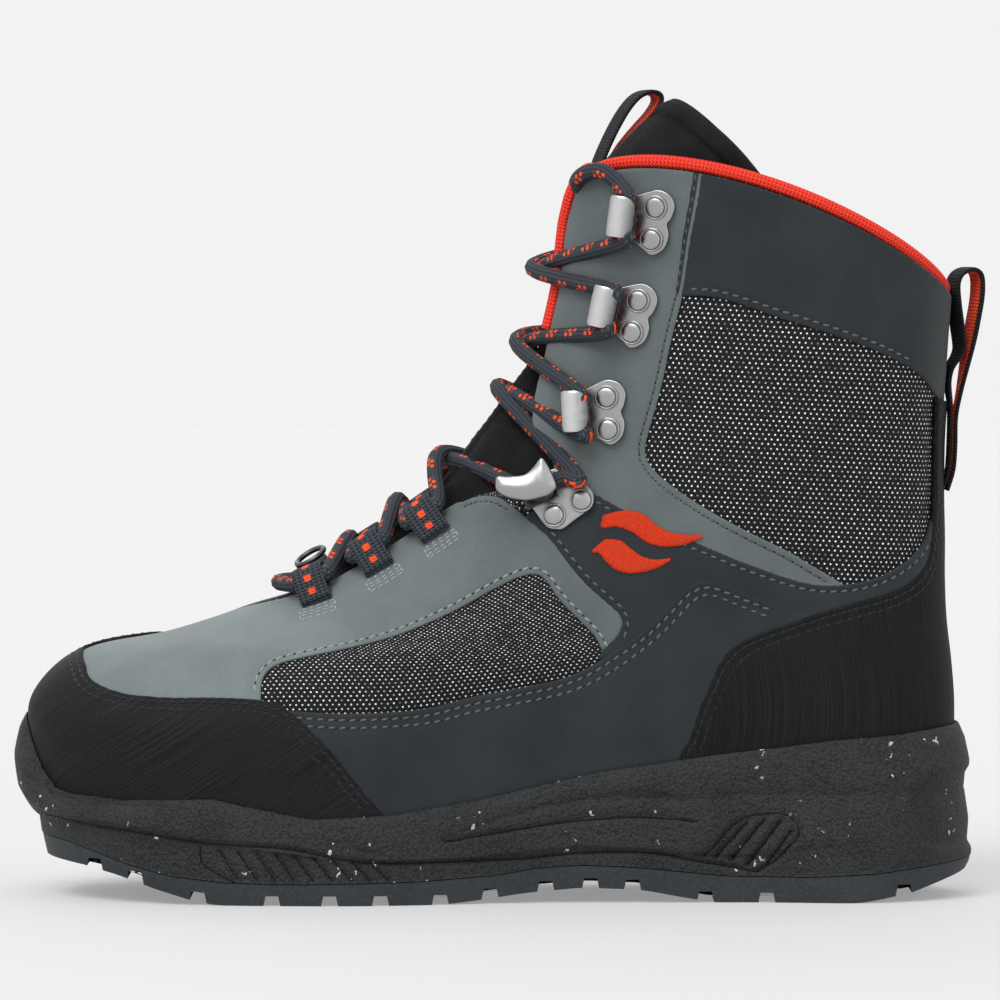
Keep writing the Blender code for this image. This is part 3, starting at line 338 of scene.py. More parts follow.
# Moulded lines in the midsole's sides: places along and above the floor in MM, half width and depth
SOLE_GROOVES = (
    (((303, 27.3), (288, 25.4), (269, 23.0), (252, 20.5), (237, 19.4), (222, 18.5), (203, 14.9), (189, 13.6),
      (170, 13.9), (148, 14.5), (138, 15.4), (127, 16.3), (107, 16.3), (90, 13.3), (82, 12.0), (72, 10.0)),
     0.8, 0.7),
    (((250, 18.9), (250, 16.0), (249, 13.1), (244, 9.8), (239, 7.6)), 0.6, 0.6),
    (((172, 20.3), (154, 23.2), (131, 26.5), (110, 27.8), (91, 26.4)), 0.8, 0.7),
    *((((244 - 6 * i, 17.7 - 0.4 * i), (238 - 6 * i, 8.3)), 0.65, 0.9) for i in range(9)),
    (((89, 15.2), (85, 19.0), (82, 22.8), (77, 27.0), (72, 28.6), (66, 28.9), (62, 28.0), (59, 25.1),
      (59, 21.3), (62, 18.1), (66, 13.9), (72, 10.0)), 0.8, 0.9),
    (((75, 26.3), (85, 15.2)), 0.9, 1.3),
    (((69.5, 27.0), (80, 14.2)), 0.9, 1.3),
    (((64.5, 26.4), (75, 12.3)), 0.9, 1.3),
    (((61, 23.4), (69, 12.2)), 0.7, 1.1),
)
# Hollows moulded in the sides: outline, MM over which they deepen, and depth
SOLE_HOLLOWS = (
    (((174, 22.0), (154, 29.0), (135, 33.9), (116, 36.7), (102, 36.4), (91, 33.1), (97, 31.5),
      (116, 31.6), (135, 30.0), (154, 26.1), (170, 21.3)), 2.4, 1.0),
    (((204, 18.6), (199, 19.5), (193, 17.5), (190, 15.6), (196, 16.0)), 1.6, 0.8),
    (((22, 18.6), (24, 28.3), (24, 34.7), (20, 39.4), (15, 42.3), (3, 42.6), (-9, 42.6), (-9, 15.0),
      (3, 15.0), (14, 15.8)), 3.6, 1.7),
)
MIDSOLE_COLUMNS = 800
RIM_CROWN = 0.5 * MM
# Radius of the near-black tubes of painted shade laid in the moulded grooves
GROOVE_SHADE_RADIUS = 0.27 * MM

# Rings of the tread from its top down: MM inside the midsole's foot, the line and the drop below it
OUTSOLE_RINGS = ((0.3, SOLE_LINE, GAP), (0.6, SOLE_LINE, 2 * MM), (1.8, FLOOR_LINE, 0))
OUTSOLE_COLUMNS = 180
LUG_ROUND = 0.35 * MM
BOX_FACES = ((0, 1, 2, 3), (7, 6, 5, 4), (0, 4, 5, 1), (1, 5, 6, 2), (2, 6, 7, 3), (3, 7, 4, 0))
# Slots between the channels stand this far behind those at the sides
MIDDLE_SHIFT = -9 * MM
# Slots of the arch that stop short of the middle
SHORT_SLOTS = (0.358, 0.447)

# Rings of the insole from its foot up: MM inside its outline, share of its thickness
INSOLE_RINGS = ((0, 0), (0, 0.6), (0.25, 0.9), (0.8, 1.0), (4, 1.0))
INSOLE_COLUMNS = 200
INSOLE_PLAY = 0.6 * MM

# The ribbed band down the tongue's middle
RIBBED_LEVELS = (4.9, 11.9)
RIBBED_WIDTH = 17 * MM
RIBBED_HEIGHT = 1.1 * MM
RIBBED_FOOT = 0.4 * MM
RIB_HEIGHT = 0.1 * MM
RIB_PITCH = 1.3 * MM
# Height that one level stands for along the tongue, roughly
LEVEL_SIZE = 15 * MM
# The padded roll along the tongue's top edge, and the stitched line below it
TONGUE_ROLL = 7 * MM
TONGUE_SEAM_DEPTH = 1.5 * MM
TONGUE_SEAM_REACH = 1.1 * MM
# Share of the tongue's rise past the collar that its middle keeps
TONGUE_STAND = 0.86
# How far the tongue's middle stands off the last up the boot, in MM
TONGUE_RIDGE = (
    (4.4, -3.0), (5.0, -2.5), (5.6, -1.2), (6.2, -1.6), (6.5, -0.8), (6.85, 0.1), (7.1, 1.4), (7.35, 2.3),
    (7.8, 2.3), (8.05, 1.6), (8.4, -0.5), (8.9, -3.0), (10.5, -3.5), (11.0, -1.0), (12.0, 1.2),
)
# The tongue widens into wings that wrap the leg inside the collar, out to this turn
WING_TURN = 0.246
WING_LEVELS = (8.8, 10.6)
WING_POWER = 1.5
# The binding starts beside the throat at this level, and sits in the collar by a share of the wall
PIPING_START = 8.6
PIPING_SINK = 0.4
PIPING_GAP = 0.9 * MM

WEBBING = 1.4 * MM
LOOP_WIDTH = 10.5 * MM
PULL_WIDTH = 12 * MM
HOOK_METAL = 1.2 * MM
RIVET_RADIUS = 3.9 * MM
RIVET_HEIGHT = 1.6 * MM
RING_WIRE = 0.9 * MM

# Folded webbing from the side: forwards and outwards in MM
LOOP_FOLD = (
    (-9.6, 0.7), (-7.6, 1.7), (-4.8, 1.6), (-2.0, 1.7), (0.9, 2.7), (2.0, 5.6), (0.9, 8.3), (-2.0, 9.2),
    (-4.6, 8.0), (-6.6, 5.8), (-8.3, 3.5), (-9.6, 1.9),
)
# Box of stitches that holds a loop: MM forwards of each row and half its length
LOOP_BOX = (-10.6, -12.2, -13.8, -15.2)
LOOP_BOX_REACH = 6.0

# Pull loops in side view, in MM from the back of the sole and above the floor
TONGUE_PULL = (
    (124.6, 230), (122.9, 236.5), (120.9, 241.7), (117.7, 248.5), (114.1, 254.7), (110.5, 258.9),
    (107.0, 260.5), (104.0, 259.9), (103.4, 257.3), (105.7, 253.4), (108.9, 249.8), (112.5, 245.6),
    (115.4, 241.7), (118.6, 236.0), (121.0, 230),
)
HEEL_PULL = (
    (10.4, 132.6), (8.9, 138.0), (8.4, 146.0), (8.2, 154.9), (8.4, 159.8), (9.1, 166.3), (8.4, 171.0),
    (6.2, 174.7), (5.2, 178.0), (5.9, 185.1), (6.8, 192.0), (7.2, 198.0), (6.0, 201.2), (3.8, 202.8),
    (1.6, 203.0), (-0.2, 201.6), (-0.8, 198.4), (-0.5, 193.0), (0.7, 186.1), (2.7, 175.4), (5.0, 163.0),
    (6.4, 154.9), (6.6, 146.0), (7.2, 138.0), (9.2, 131.2),
)
PULL_TURN = math.radians(17)
# The back loop untwists below this height, over as many MM
PULL_TWIST = (158, 26)
PULL_LINING = 8.5 * MM
# Hooks in MM forwards and up from their place, the bend forwards and outwards
HOOK_SHAPES = {
    "hook": {
        "plate": (
            (8.1, 7.5), (3.4, 9.7), (-0.5, 10.9), (-4.4, 9.5), (-6.2, 6.2), (-5.4, 2.2), (-4.4, 0.3),
            (-5.4, -3.3), (-4.3, -7.6), (-0.6, -10.1), (3.0, -8.3), (6.3, -6.2), (9.7, -5.7), (9.9, 0.9),
            (9.5, 7.0),
        ),
        "bend": (
            (6.0, 2.2), (9.5, 2.3), (12.2, 3.2), (13.7, 5.4), (13.3, 7.9), (11.4, 9.6), (8.9, 10.0),
            (6.6, 9.5), (4.9, 8.6),
        ),
        "middle": 1.0, "width": 13.4, "rivets": ((0, 5.2), (0, -5.2)),
    },
    "lock": {
        "plate": (
            (12.9, 1.0), (7.2, 5.5), (2.9, 8.6), (-1.1, 9.0), (-3.7, 6.1), (-5.2, 0.1), (-6.1, -4.2),
            (-5.4, -6.3), (-3.2, -8.9), (3.2, -10.4), (5.2, -10.9), (7.7, -12.0), (12.9, -12.0), (13.0, -6.0),
        ),
        "bend": ((4.0, 2.2), (8.0, 2.4), (11.6, 4.0), (13.2, 6.4), (12.0, 8.6), (9.0, 9.0)),
        "middle": -6.5, "width": 12.0, "rivets": ((-0.4, 5.0), (-1.0, -5.1)),
    },
}
LOCK_LIP = (
    (14.5, -17.9), (16.9, -16.2), (15.3, -12.7), (13.8, -8.0), (14.7, -4.4), (16.5, -0.8), (13.9, 0.2),
    (8.9, 0.4), (6.0, -0.1), (4.6, -3.2), (5.1, -7.6), (6.2, -11.3), (9.2, -15.7), (12.5, -18.1),
)
LIP_BASE = 8.9 * MM
LIP_EDGE = 0.5 * MM
LIP_CROWN = 1.3 * MM
HOOK_CORNER = 4.4 * MM
# A rivet's head from its foot to its crown, as shares of its radius and height
RIVET_PROFILE = (
    (1.0, 0.0), (1.0, 0.42), (0.96, 0.55), (0.90, 0.58), (0.85, 0.50), (0.83, 0.30), (0.80, 0.30),
    (0.79, 0.60), (0.76, 0.80), (0.70, 0.88), (0.45, 0.97), (0.2, 1.0),
)
BOX_PITCH = 2.5 * MM
BOX_LENGTH = 1.9 * MM
BOX_SINK = 0.05 * MM
PLATE_BASE = 1.5 * MM
PLATE_EDGE = 0.35 * MM

# Where the lace lies in its holders: MM forwards, MM out, and MM to either side
LACE_HOLDS = {"loop": (-2.1, 5.5, 6.0), "lock": (8.6, 5.7, 7.0), "hook": (9.3, 6.1, 6.8)}
BAR_LIFT = 3.4
# Between holders the two halves cross at the middle: level and MM off the last
CROSSINGS = ((5.86, 4.2), (6.40, 5.4), (7.03, 7.4), (7.88, 7.0), (8.50, 7.6), (9.70, 7.6))
CROSSING_DROP = 3.7
# The end goes over the binding beside the last hook: turn, level and MM off the last
LACE_END = (
    (0.365, 10.62, 4.6), (0.385, 10.98, 3.8), (0.405, 11.06, 3.6),
    (0.425, 11.00, 2.0), (0.438, 10.75, -2.5), (0.440, 10.40, -5.0),
)
LACE_SMOOTHING = 4
LACE_BASE = 5.155
RING_LEVEL = 5.50
RING_LIFT = 5.6
RING_REACH = 5.0 * MM
RING_TILT = 0.24

# Stage
FLOOR_SIZE = 12
FLOOR_COLOURS = ((0.392, 0.392, 0.392), (0.406, 0.406, 0.406))
FLOOR_GLOW = 0.28
SKY = ((1.0, 1.0, 1.0), 0.887)
# Suns: where the light comes from, its strength and its softness in degrees
SUNS = (
    ("key", (0.35, 0.60, 0.85), 1.9, 38),
    ("fill", (-0.6, 0.85, 0.15), 0.35, 60),
    ("rim", (0.1, -0.8, 0.6), 0.5, 45),
)
CAMERA_LENS = 254.8
CAMERA_PLACE = (0.095, 2.300, 0.210)
CAMERA_TARGET = (0.095, 0.0, 0.128)

# Small steps along the last, by which directions on it are measured
TURN_STEP = 0.002
LEVEL_STEP = 0.02
SEAM_STEP = 0.05
EDGE_STEP = 0.15

# The two sides of the boot, with the word for each in the names of pieces
SIDES = ((1, "outer"), (-1, "inner"))


def ease(t):
    """A share from 0 to 1 that starts and ends level."""
    t = np.clip(t, 0, 1)
    return t * t * (3 - 2 * t)


def ramp(value, start, end):
    """How far a value is from start to end, as a share that starts and ends level."""
    return ease((value - start) / (end - start))


def read_line(line, share):
    """Height on a line of (share, height) rows."""
    shares, heights = zip(*line)
    return np.interp(share, shares, heights)


def unit(vectors):
    """Vectors made one long."""
    return vectors / np.maximum(np.linalg.norm(vectors, axis=-1, keepdims=True), 1e-9)


def run_along(path):
    """Distance along a path at each of its points."""
    return np.concatenate([[0], np.cumsum(np.linalg.norm(np.diff(path, axis=0), axis=1))])


def rounded(share):
    """Height of a round edge at a share of its radius in from the edge, as a share."""
    return np.sqrt(1 - (1 - np.clip(share, 0, 1)) ** 2)


def to_frame(points):
    """Moves points measured from the back of the sole into the part's frame."""
    return points - np.array([HEEL_CENTRE * SOLE_LENGTH, 0, 0])


def section(level):
    """The section table's columns at a level, blended smoothly between rows."""
    level = np.clip(np.asarray(level, float), 0, TOP)
    rows = np.array(SECTIONS)
    low = np.minimum(level.astype(int), TOP - 1)
    t = (level - low)[..., None]
    before, after = rows[np.maximum(low - 1, 0)], rows[np.minimum(low + 2, TOP)]
    a, b = rows[low], rows[low + 1]
    rise_a, rise_b = (b - before) / 2, (after - a) / 2
    value = (
        a * (1 + 2 * t) * (1 - t) ** 2 + rise_a * t * (1 - t) ** 2
        + b * t * t * (3 - 2 * t) - rise_b * t * t * (1 - t)
    )
    return dict(zip(SECTION_COLUMNS, np.moveaxis(value, -1, 0)))


def bed_height(x):
    """Floor of the cup that the upper and the insole stand on."""
    share = x / SOLE_LENGTH
    fall = HEEL_STACK + (BALL_STACK - HEEL_STACK) * ramp(share, *BED_FALL)
    return fall + (TOE_STACK - BALL_STACK) * ramp(share, *BED_RISE)


def run_share(turn):
    """Share of the way from the back to the front at a turn."""
    return (1 - np.cos(2 * np.pi * np.abs(turn))) / 2


def last_point(turn, level):
    """Point of the last's outer surface, measured from the back of the sole.

    turn goes round the boot: 0 at the back, 0.5 at the front, and below 0 on the inner side.
    """
    turn = np.mod(np.asarray(turn, float) + 0.5, 1) - 0.5
    turn, level = np.broadcast_arrays(turn, np.asarray(level, float))
    row = section(level)
    share = run_share(turn)
    outer = turn >= 0
    waist = np.where(outer, row["waist_out"], row["waist_in"])
    fore = np.where(outer, row["fore_out"], row["fore_in"])
    half = row["heel"] + (waist - row["heel"]) * ramp(share, HEEL_SHARE, WAIST_SHARE)
    half = half + (fore - waist) * ramp(share, WAIST_SHARE, FORE_SHARE)
    rear = np.clip(1 - share / row["rear_round"], 0, 1)
    front = np.clip(1 - (1 - share) / row["front_round"], 0, 1)
    half = half * (1 - rear**REAR_POWER) ** (1 / REAR_POWER)
    half = half * (1 - front ** row["front_power"]) ** (1 / row["front_power"])
    peak = ARCH_REAR_POWER / (ARCH_REAR_POWER + ARCH_FRONT_POWER)
    arch = (share / peak) ** ARCH_REAR_POWER * ((1 - share) / (1 - peak)) ** ARCH_FRONT_POWER
    x = (row["back_x"] + (row["front_x"] - row["back_x"]) * share) * SOLE_LENGTH
    z = (row["back_z"] + (row["front_z"] - row["back_z"]) * share + row["arch"] * arch) * COLLAR_HEIGHT
    z = z + (bed_height(x) + GAP - z) * np.clip(row["on_bed"], 0, 1)
    y = (np.where(outer, half, -half) + row["front_y"] * share**FRONT_BEND) * BALL_WIDTH
    return np.stack([x, y, z], -1)


def last_axes(turn, level):
    """Directions round, up and out of the last's surface."""
    level = np.asarray(level, float)
    higher, lower = np.minimum(level + LEVEL_STEP, TOP), np.maximum(level - LEVEL_STEP, 0)
    around = last_point(turn + TURN_STEP, level) - last_point(turn - TURN_STEP, level)
    rise = last_point(turn, higher) - last_point(turn, lower)
    out = np.cross(rise, around)
    # Close to the sole the surface is offset level with the ground
    out[..., 2] *= np.clip(level, 0, 1)
    around, out = unit(around), unit(out)
    return around, np.cross(around, out), out


def on_last(turn, level, offset=0.0):
    """Point at a distance outside the last, measured from the back of the sole."""
    turn, level = np.broadcast_arrays(np.asarray(turn, float), np.asarray(level, float))
    out = last_axes(turn, level)[2]
    return last_point(turn, level) + out * np.asarray(offset, float)[..., None]


def turn_at(level, half):
    """Turn on the outer side at which the front of a section is this far from its middle."""
    row = section(level)
    wide = (row["fore_out"] + row["fore_in"]) / 2
    power = row["front_power"]
    closed = (1 - np.clip(half / BALL_WIDTH / wide, 0, 0.98) ** power) ** (1 / power)
    return np.arccos(1 - 2 * (1 - row["front_round"] * (1 - closed))) / (2 * np.pi)


def throat_half(level):
    """Half width of the throat."""
    return read_line(THROAT, level) * BALL_WIDTH


def throat_turn(level, beyond=0.0):
    """Turn of the throat's outer edge, or of a place some way outside it."""
    return turn_at(level, throat_half(level) + beyond)


def wall_at(level):
    """Wall thickness: the collar is padded."""
    return WALL + (COLLAR_WALL - WALL) * ramp(np.asarray(level, float), *PADDED_LEVELS)


def level_at_height(turn, height):
    """Level at which the last's side stands at a height."""
    low, high = np.zeros(np.shape(turn)), np.full(np.shape(turn), 4.0)
    for _ in range(24):
        middle = (low + high) / 2
        below = last_point(turn, middle)[..., 2] < height
        low, high = np.where(below, middle, low), np.where(below, high, middle)
    return low


def sole_share(turn):
    """Share of SOLE_LENGTH that a turn stands for, stretched over the ends of the sole."""
    share, foot = run_share(turn), last_point(turn, 0 * turn)[..., 0] / SOLE_LENGTH
    heel, toe = SECTIONS[0][0], SECTIONS[0][2]
    return foot + (1 - toe) * ramp(share, 1 - END_SHARE, 1) - heel * (1 - ramp(share, 0, END_SHARE))


def sole_height(turn, above_step, share):
    """Height at a share of the way between two of the sole's lines."""
    lines = (STEP_LINE, RIM_LINE) if above_step else (SOLE_LINE, STEP_LINE)
    low, high = (read_line(line, sole_share(turn)) * COLLAR_HEIGHT for line in lines)
    return low + (high - low) * share


def sole_out(turn, toe, side, heel):
    """How far the sole stands proud of the last round its outline."""
    share = run_share(turn)
    at_toe, at_heel = ramp(share, *WALL_TOE), 1 - ramp(share, *WALL_HEEL)
    return (side + (toe - side) * at_toe + (heel - side) * at_heel) * MM


def sole_ring(turn, above_step, share, toe, side, heel):
    """One ring of the midsole's side wall."""
    height = sole_height(turn, above_step, share)
    level = level_at_height(turn, height)
    away = unit(last_axes(turn, level)[2] * (1, 1, 0))
    point = last_point(turn, level) + away * sole_out(turn, toe, side, heel)[..., None]
    point[..., 2] = height
    return point


def tongue_edge(level):
    """Turn of the tongue's outer edge: under the throat's edge, and far round the leg at the top."""
    within = np.minimum(level, TOP)
    narrow = turn_at(within, throat_half(within) + TONGUE_OVERLAP)
    return narrow + (WING_TURN - narrow) * ramp(level, *WING_LEVELS)


def tongue_point(across, level, depth):
    """Point on the tongue: across runs from -1 to 1, and levels past the collar lean back."""
    within = np.minimum(level, TOP)
    past = np.maximum(level - TOP, 0)
    half = throat_half(within)
    turn = 0.5 + across * (0.5 - tongue_edge(level))
    open_share = (half - 2 * PIPING_RADIUS) / (half + TONGUE_OVERLAP)
    raised = ease((open_share - RIDGE_CLEAR - np.abs(across)) / RIDGE_SLOPE)
    raised = raised * ramp(level, *RIDGE_LEVELS) * (1 - past)
    clear = wall_at(within) + GAP + 2 * FACET
    point = on_last(turn, within, -clear + (clear + read_line(TONGUE_RIDGE, level) * MM) * raised - depth)
    # The middle stands highest and the wings slope down to the collar
    stand = TONGUE_STAND * past * (1 - np.abs(across) ** WING_POWER)
    point[..., 0] += TONGUE_LEAN * SOLE_LENGTH * stand
    point[..., 2] += (TONGUE_RISE * stand + TONGUE_EDGE_RISE * past) * COLLAR_HEIGHT
    return point


def throat_axes(turn, level):
    """Directions towards the throat, up along its edge and out of the upper."""
    side = np.sign(turn)
    near, far = level - EDGE_STEP, min(level + EDGE_STEP, TOP)
    edge = last_point(side * throat_turn(far), far) - last_point(side * throat_turn(near), near)
    out = last_axes(np.array(turn), level)[2]
    forward = unit(np.cross(out, edge) * side)
    return np.stack([forward, np.cross(forward, out) * side, out])


def edge_point(side, level):
    """Centre of the piping beside the throat's edge."""
    turn = side * throat_turn(level)
    forward, up, out = throat_axes(turn, level)
    beside = last_point(turn, level) + forward * (PIPING_RADIUS + PIPING_GAP)
    if level < TOP:
        return beside
    return beside - out * wall_at(TOP) * PIPING_SINK + up * 0.9 * PIPING_RADIUS


def place(points, origin, axes):
    """Points given along three directions from a place, in space."""
    return origin + np.array(points) @ axes


def catmull(points, steps=8):
    """A smooth line through points, with a number of steps between each pair."""
    points = np.array(points, float)
    padded = np.vstack([2 * points[0] - points[1], points, 2 * points[-1] - points[-2]])
    t = np.linspace(0, 1, steps, endpoint=False)[:, None]
    rows = []
    for a, b, c, d in zip(padded, padded[1:], padded[2:], padded[3:]):
        square, cube = 2 * a - 5 * b + 4 * c - d, 3 * b - a - 3 * c + d
        rows.append(0.5 * (2 * b + (c - a) * t + square * t**2 + cube * t**3))
    return np.vstack([*rows, points[-1:]])


def resample(line, step, surface=None):
    """Points at even distances along a line; surface maps its points into space."""
    line = np.asarray(line)
    run = run_along(line if surface is None else surface(line))
    count = max(2, int(round(run[-1] / step)) + 1)
    at = np.linspace(0, run[-1], count)
    return np.stack([np.interp(at, run, column) for column in line.T], 1)


def on_seam(line):
    """Points of the last under a line of (turn, level)."""
    return last_point(line[:, 0], line[:, 1])


def seam(points, step=0.6 * MM):
    """A smooth seam as evenly spaced (turn, level) pairs."""
    return resample(catmull(points), step, on_seam)


def shifted(line, distance):
    """A seam moved sideways over the last, to the left of its run when seen from outside."""
    turn, level = line[:, 0], line[:, 1]
    around, up, out = last_axes(turn, level)
    ahead = np.gradient(last_point(turn, level), axis=0)
    left = unit(np.cross(out, ahead))
    swing = last_point(turn + TURN_STEP, level) - last_point(turn - TURN_STEP, level)
    turn_size = np.linalg.norm(swing, axis=1) / (2 * TURN_STEP)
    low, high = np.maximum(level - SEAM_STEP, 0), np.minimum(level + SEAM_STEP, TOP)
    rise = (last_point(turn, high) - last_point(turn, low)) / (high - low)[:, None]
    # The level's own direction leans against the turn's, so both are solved together
    along = np.sum(rise * around, axis=1)
    level_size = np.sum(rise * up, axis=1)
    d_level = np.sum(left * up, axis=1) * distance / level_size
    d_turn = (np.sum(left * around, axis=1) * distance - along * d_level) / turn_size
    return np.stack([turn + d_turn, np.clip(level + d_level, 0, TOP)], 1)


def tree_of(points):
    """A search tree of points; flat ones lie at height 0."""
    tree = KDTree(len(points))
    for i, point in enumerate(points):
        tree.insert((*point, 0)[:3], i)
    tree.balance()
    return tree


def distance_to(tree, points):
    """Distance from each point to the nearest one in a tree."""
    return np.array([tree.find((*point, 0)[:3])[2] for point in points])


def in_polygon(points, outline):
    """Which points lie inside a closed outline."""
    x, y = points[:, 0], points[:, 1]
    inside = np.zeros(len(points), bool)
    for (ax, ay), (bx, by) in zip(outline, np.roll(outline, -1, axis=0)):
        if ay == by:
            continue
        crosses = (ay > y) != (by > y)
        inside ^= crosses & (x < (bx - ax) * (y - ay) / (by - ay) + ax)
    return inside


def run_over(points, axis):
    """Distance over a grid of points along its rows or columns, from their start."""
    steps = np.linalg.norm(np.diff(points, axis=axis), axis=2)
    start = np.zeros_like(np.take(steps, [0], axis=axis))
    return np.concatenate([start, np.cumsum(steps, axis=axis)], axis=axis)


def cloth_tables():
    """Distances over the last, from its back and from its foot, at a grid of turns and levels."""
    points = last_point(*np.meshgrid(CLOTH_TURNS, CLOTH_LEVELS))
    across = run_over(points, 1)
    back = np.argmin(np.abs(CLOTH_TURNS))
    return across - across[:, [back]], run_over(points, 0)


ACROSS, UPWARD = cloth_tables()


def cloth(turn, level):
    """Where a point lies on the cloth, in metres round and up."""
    i, j = (
        np.clip(np.interp(value, stations, np.arange(len(stations))), 0, len(stations) - 1.001)
        for value, stations in ((level, CLOTH_LEVELS), (turn, CLOTH_TURNS))
    )
    i0, j0 = i.astype(int), j.astype(int)
    s, t = i - i0, j - j0
    result = []
    for table in (ACROSS, UPWARD):
        low = table[i0, j0] * (1 - t) + table[i0, j0 + 1] * t
        high = table[i0 + 1, j0] * (1 - t) + table[i0 + 1, j0 + 1] * t
        result.append(low * (1 - s) + high * s)
    return np.stack(result, -1)


def add_piece(name, points, faces, finish, uv=None, nodes=(), faceted=False):
    """A piece in the frame: uv holds its cloth places and nodes the CAD nodes that it stands for."""
    slot, material = FINISHES[finish]
    mesh = bpy.data.meshes.new(name)
    mesh.from_pydata([tuple(point) for point in to_frame(np.asarray(points))], [], [tuple(f) for f in faces])
    if uv is not None:
        corners = np.zeros(len(mesh.loops), np.int32)
        mesh.loops.foreach_get("vertex_index", corners)
        layer = mesh.uv_layers.new(name="cloth")
        layer.data.foreach_set("uv", np.asarray(uv, np.float32)[corners].ravel())
    mesh.validate()
    if not faceted:
        mesh.shade_smooth()
    obj = bpy.data.objects.new(name, mesh)
    bpy.context.scene.collection.objects.link(obj)
    mesh.materials.append(material)
    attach(obj, "root")
    if nodes:
        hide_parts(*nodes)
    return obj


def grid_faces(rows, columns, start=0, closed=False, flip=False):
    """Quads over a grid of points, joined end to end where it is closed."""
    across = columns if closed else columns - 1
    i, j = np.meshgrid(np.arange(rows - 1), np.arange(across), indexing="ij")
    a, b = i * columns + j, i * columns + (j + 1) % columns
    quads = np.stack([a, b, b + columns, a + columns], -1).reshape(-1, 4) + start
    return quads[:, ::-1].tolist() if flip else quads.tolist()


def rod_faces(rows, columns):
    """Faces of a stack of rings with a face across either end."""
    last = (rows - 1) * columns
    ends = [list(range(columns))[::-1], list(range(last, last + columns))]
    return grid_faces(rows, columns, closed=True) + ends


class Join:
    """Gathers many small shapes into one piece."""

    def __init__(self):
        self.points, self.faces, self.uv, self.count = [], [], [], 0

    def add(self, points, faces, uv=None):
        points = np.asarray(points, float).reshape(-1, 3)
        self.points.append(points)
        self.faces += [[k + self.count for k in face] for face in faces]
        self.uv.append(np.zeros((len(points), 2)) if uv is None else np.asarray(uv, float).reshape(-1, 2))
        self.count += len(points)

    def build(self, name, finish, nodes=()):
        points, uv = np.concatenate(self.points), np.concatenate(self.uv)
        return add_piece(name, points, self.faces, finish, uv, nodes)


class Value:
    """A node's output that can be reckoned with like a number."""

    def __init__(self, finish, socket):
        self.finish, self.socket = finish, socket

    def __add__(self, other):
        return self.finish.maths("ADD", self, other)

    def __sub__(self, other):
        return self.finish.maths("SUBTRACT", self, other)

    def __mul__(self, other):
        return self.finish.maths("MULTIPLY", self, other)

    def __truediv__(self, other):
        return self.finish.maths("DIVIDE", self, other)

    def __mod__(self, other):
        return self.finish.maths("MODULO", self, other)

    def __abs__(self):
        return self.finish.maths("ABSOLUTE", self)

    def floor(self):
        return self.finish.maths("FLOOR", self)

    def fraction(self):
        return self.finish.maths("FRACT", self)

    def root(self):
        return self.finish.maths("SQRT", self)

    def wave(self, pitch=1.0):
        """A sine that repeats once a pitch."""
        return self.finish.maths("SINE", self * (2 * math.pi / pitch))

    def fold(self):
        """Distance from the middle of each unit step, from 0 to a half."""
        return abs(self.fraction() - 0.5)


class Finish:
    """A material made of nodes round one Principled shader."""

    def __init__(self, name, roughness=0.7, metallic=0.0, **sockets):
        self.material = bpy.data.materials.new(name)
        self.material.use_nodes = True
        self.nodes, self.links = self.material.node_tree.nodes, self.material.node_tree.links
        self.shader = self.nodes["Principled BSDF"]
        self.set("Roughness", roughness)
        self.set("Metallic", metallic)
        self.set("Specular IOR Level", 0.2)
        for socket, value in sockets.items():
            self.set(socket.replace("_", " "), value)

    def set(self, socket, value):
        self.feed(self.shader.inputs[socket], value)

    def feed(self, socket, value):
        if isinstance(value, Value):
            self.links.new(value.socket, socket)
        else:
            socket.default_value = value

    def node(self, kind, *values, output=0, **settings):
        """One node's output. values go to its inputs in order, and None leaves an input as it is."""
        made = self.nodes.new(kind)
        for key, value in settings.items():
            setattr(made, key, value)
        for socket, value in zip(made.inputs, values):
            if value is not None:
                self.feed(socket, value)
        return Value(self, made.outputs[output])

    def maths(self, operation, *values):
        return self.node("ShaderNodeMath", *values, operation=operation)

    def place(self):
        return self.node("ShaderNodeTexCoord", output=3)

    def part(self, vector, axis):
        return self.node("ShaderNodeSeparateXYZ", vector, output=axis)

    def cloth(self):
        """Separate distances round and up the cloth, in metres."""
        places = self.node("ShaderNodeUVMap", uv_map="cloth")
        return self.part(places, 0), self.part(places, 1)

    def noise(self, place, scale, detail=2.0):
        return self.node("ShaderNodeTexNoise", place, None, scale, detail)

    def cells(self, place, scale):
        return self.node("ShaderNodeTexVoronoi", place, None, scale)

    def between(self, value, low, high, start=0.0, end=1.0):
        """value mapped smoothly from low..high to start..end."""
        return self.node("ShaderNodeMapRange", value, low, high, start, end, interpolation_type="SMOOTHSTEP")

    def paint(self, colour):
        """A colour with its alpha, unless it already comes from a node."""
        return colour if isinstance(colour, Value) else (*colour, 1)

    def mix(self, share, a, b):
        made = self.nodes.new("ShaderNodeMix")
        made.data_type = "RGBA"
        for socket, value in zip((0, 6, 7), (share, self.paint(a), self.paint(b))):
            self.feed(made.inputs[socket], value)
        return Value(self, made.outputs[2])

    def colour(self, value):
        self.set("Base Color", self.paint(value))

    def bump(self, height, depth, strength):
        made = self.nodes.new("ShaderNodeBump")
        for socket, value in (("Strength", strength), ("Distance", depth), ("Height", height)):
            self.feed(made.inputs[socket], value)
        self.set("Normal", Value(self, made.outputs[0]))


def satin(name, colour):
    """Smooth embroidery: fine threads side by side that run across the figure."""
    f = Finish(name, 0.5)
    across, up = f.cloth()
    strand = (across + up * 0.35).wave(0.75 * MM)
    share = strand * 0.4 + f.noise(f.place(), 900)
    f.colour(f.mix(f.between(share, 0.1, 0.8), [c * 0.5 for c in colour], colour))
    f.bump(strand, 0.25 * MM, 0.9)
    return f.material


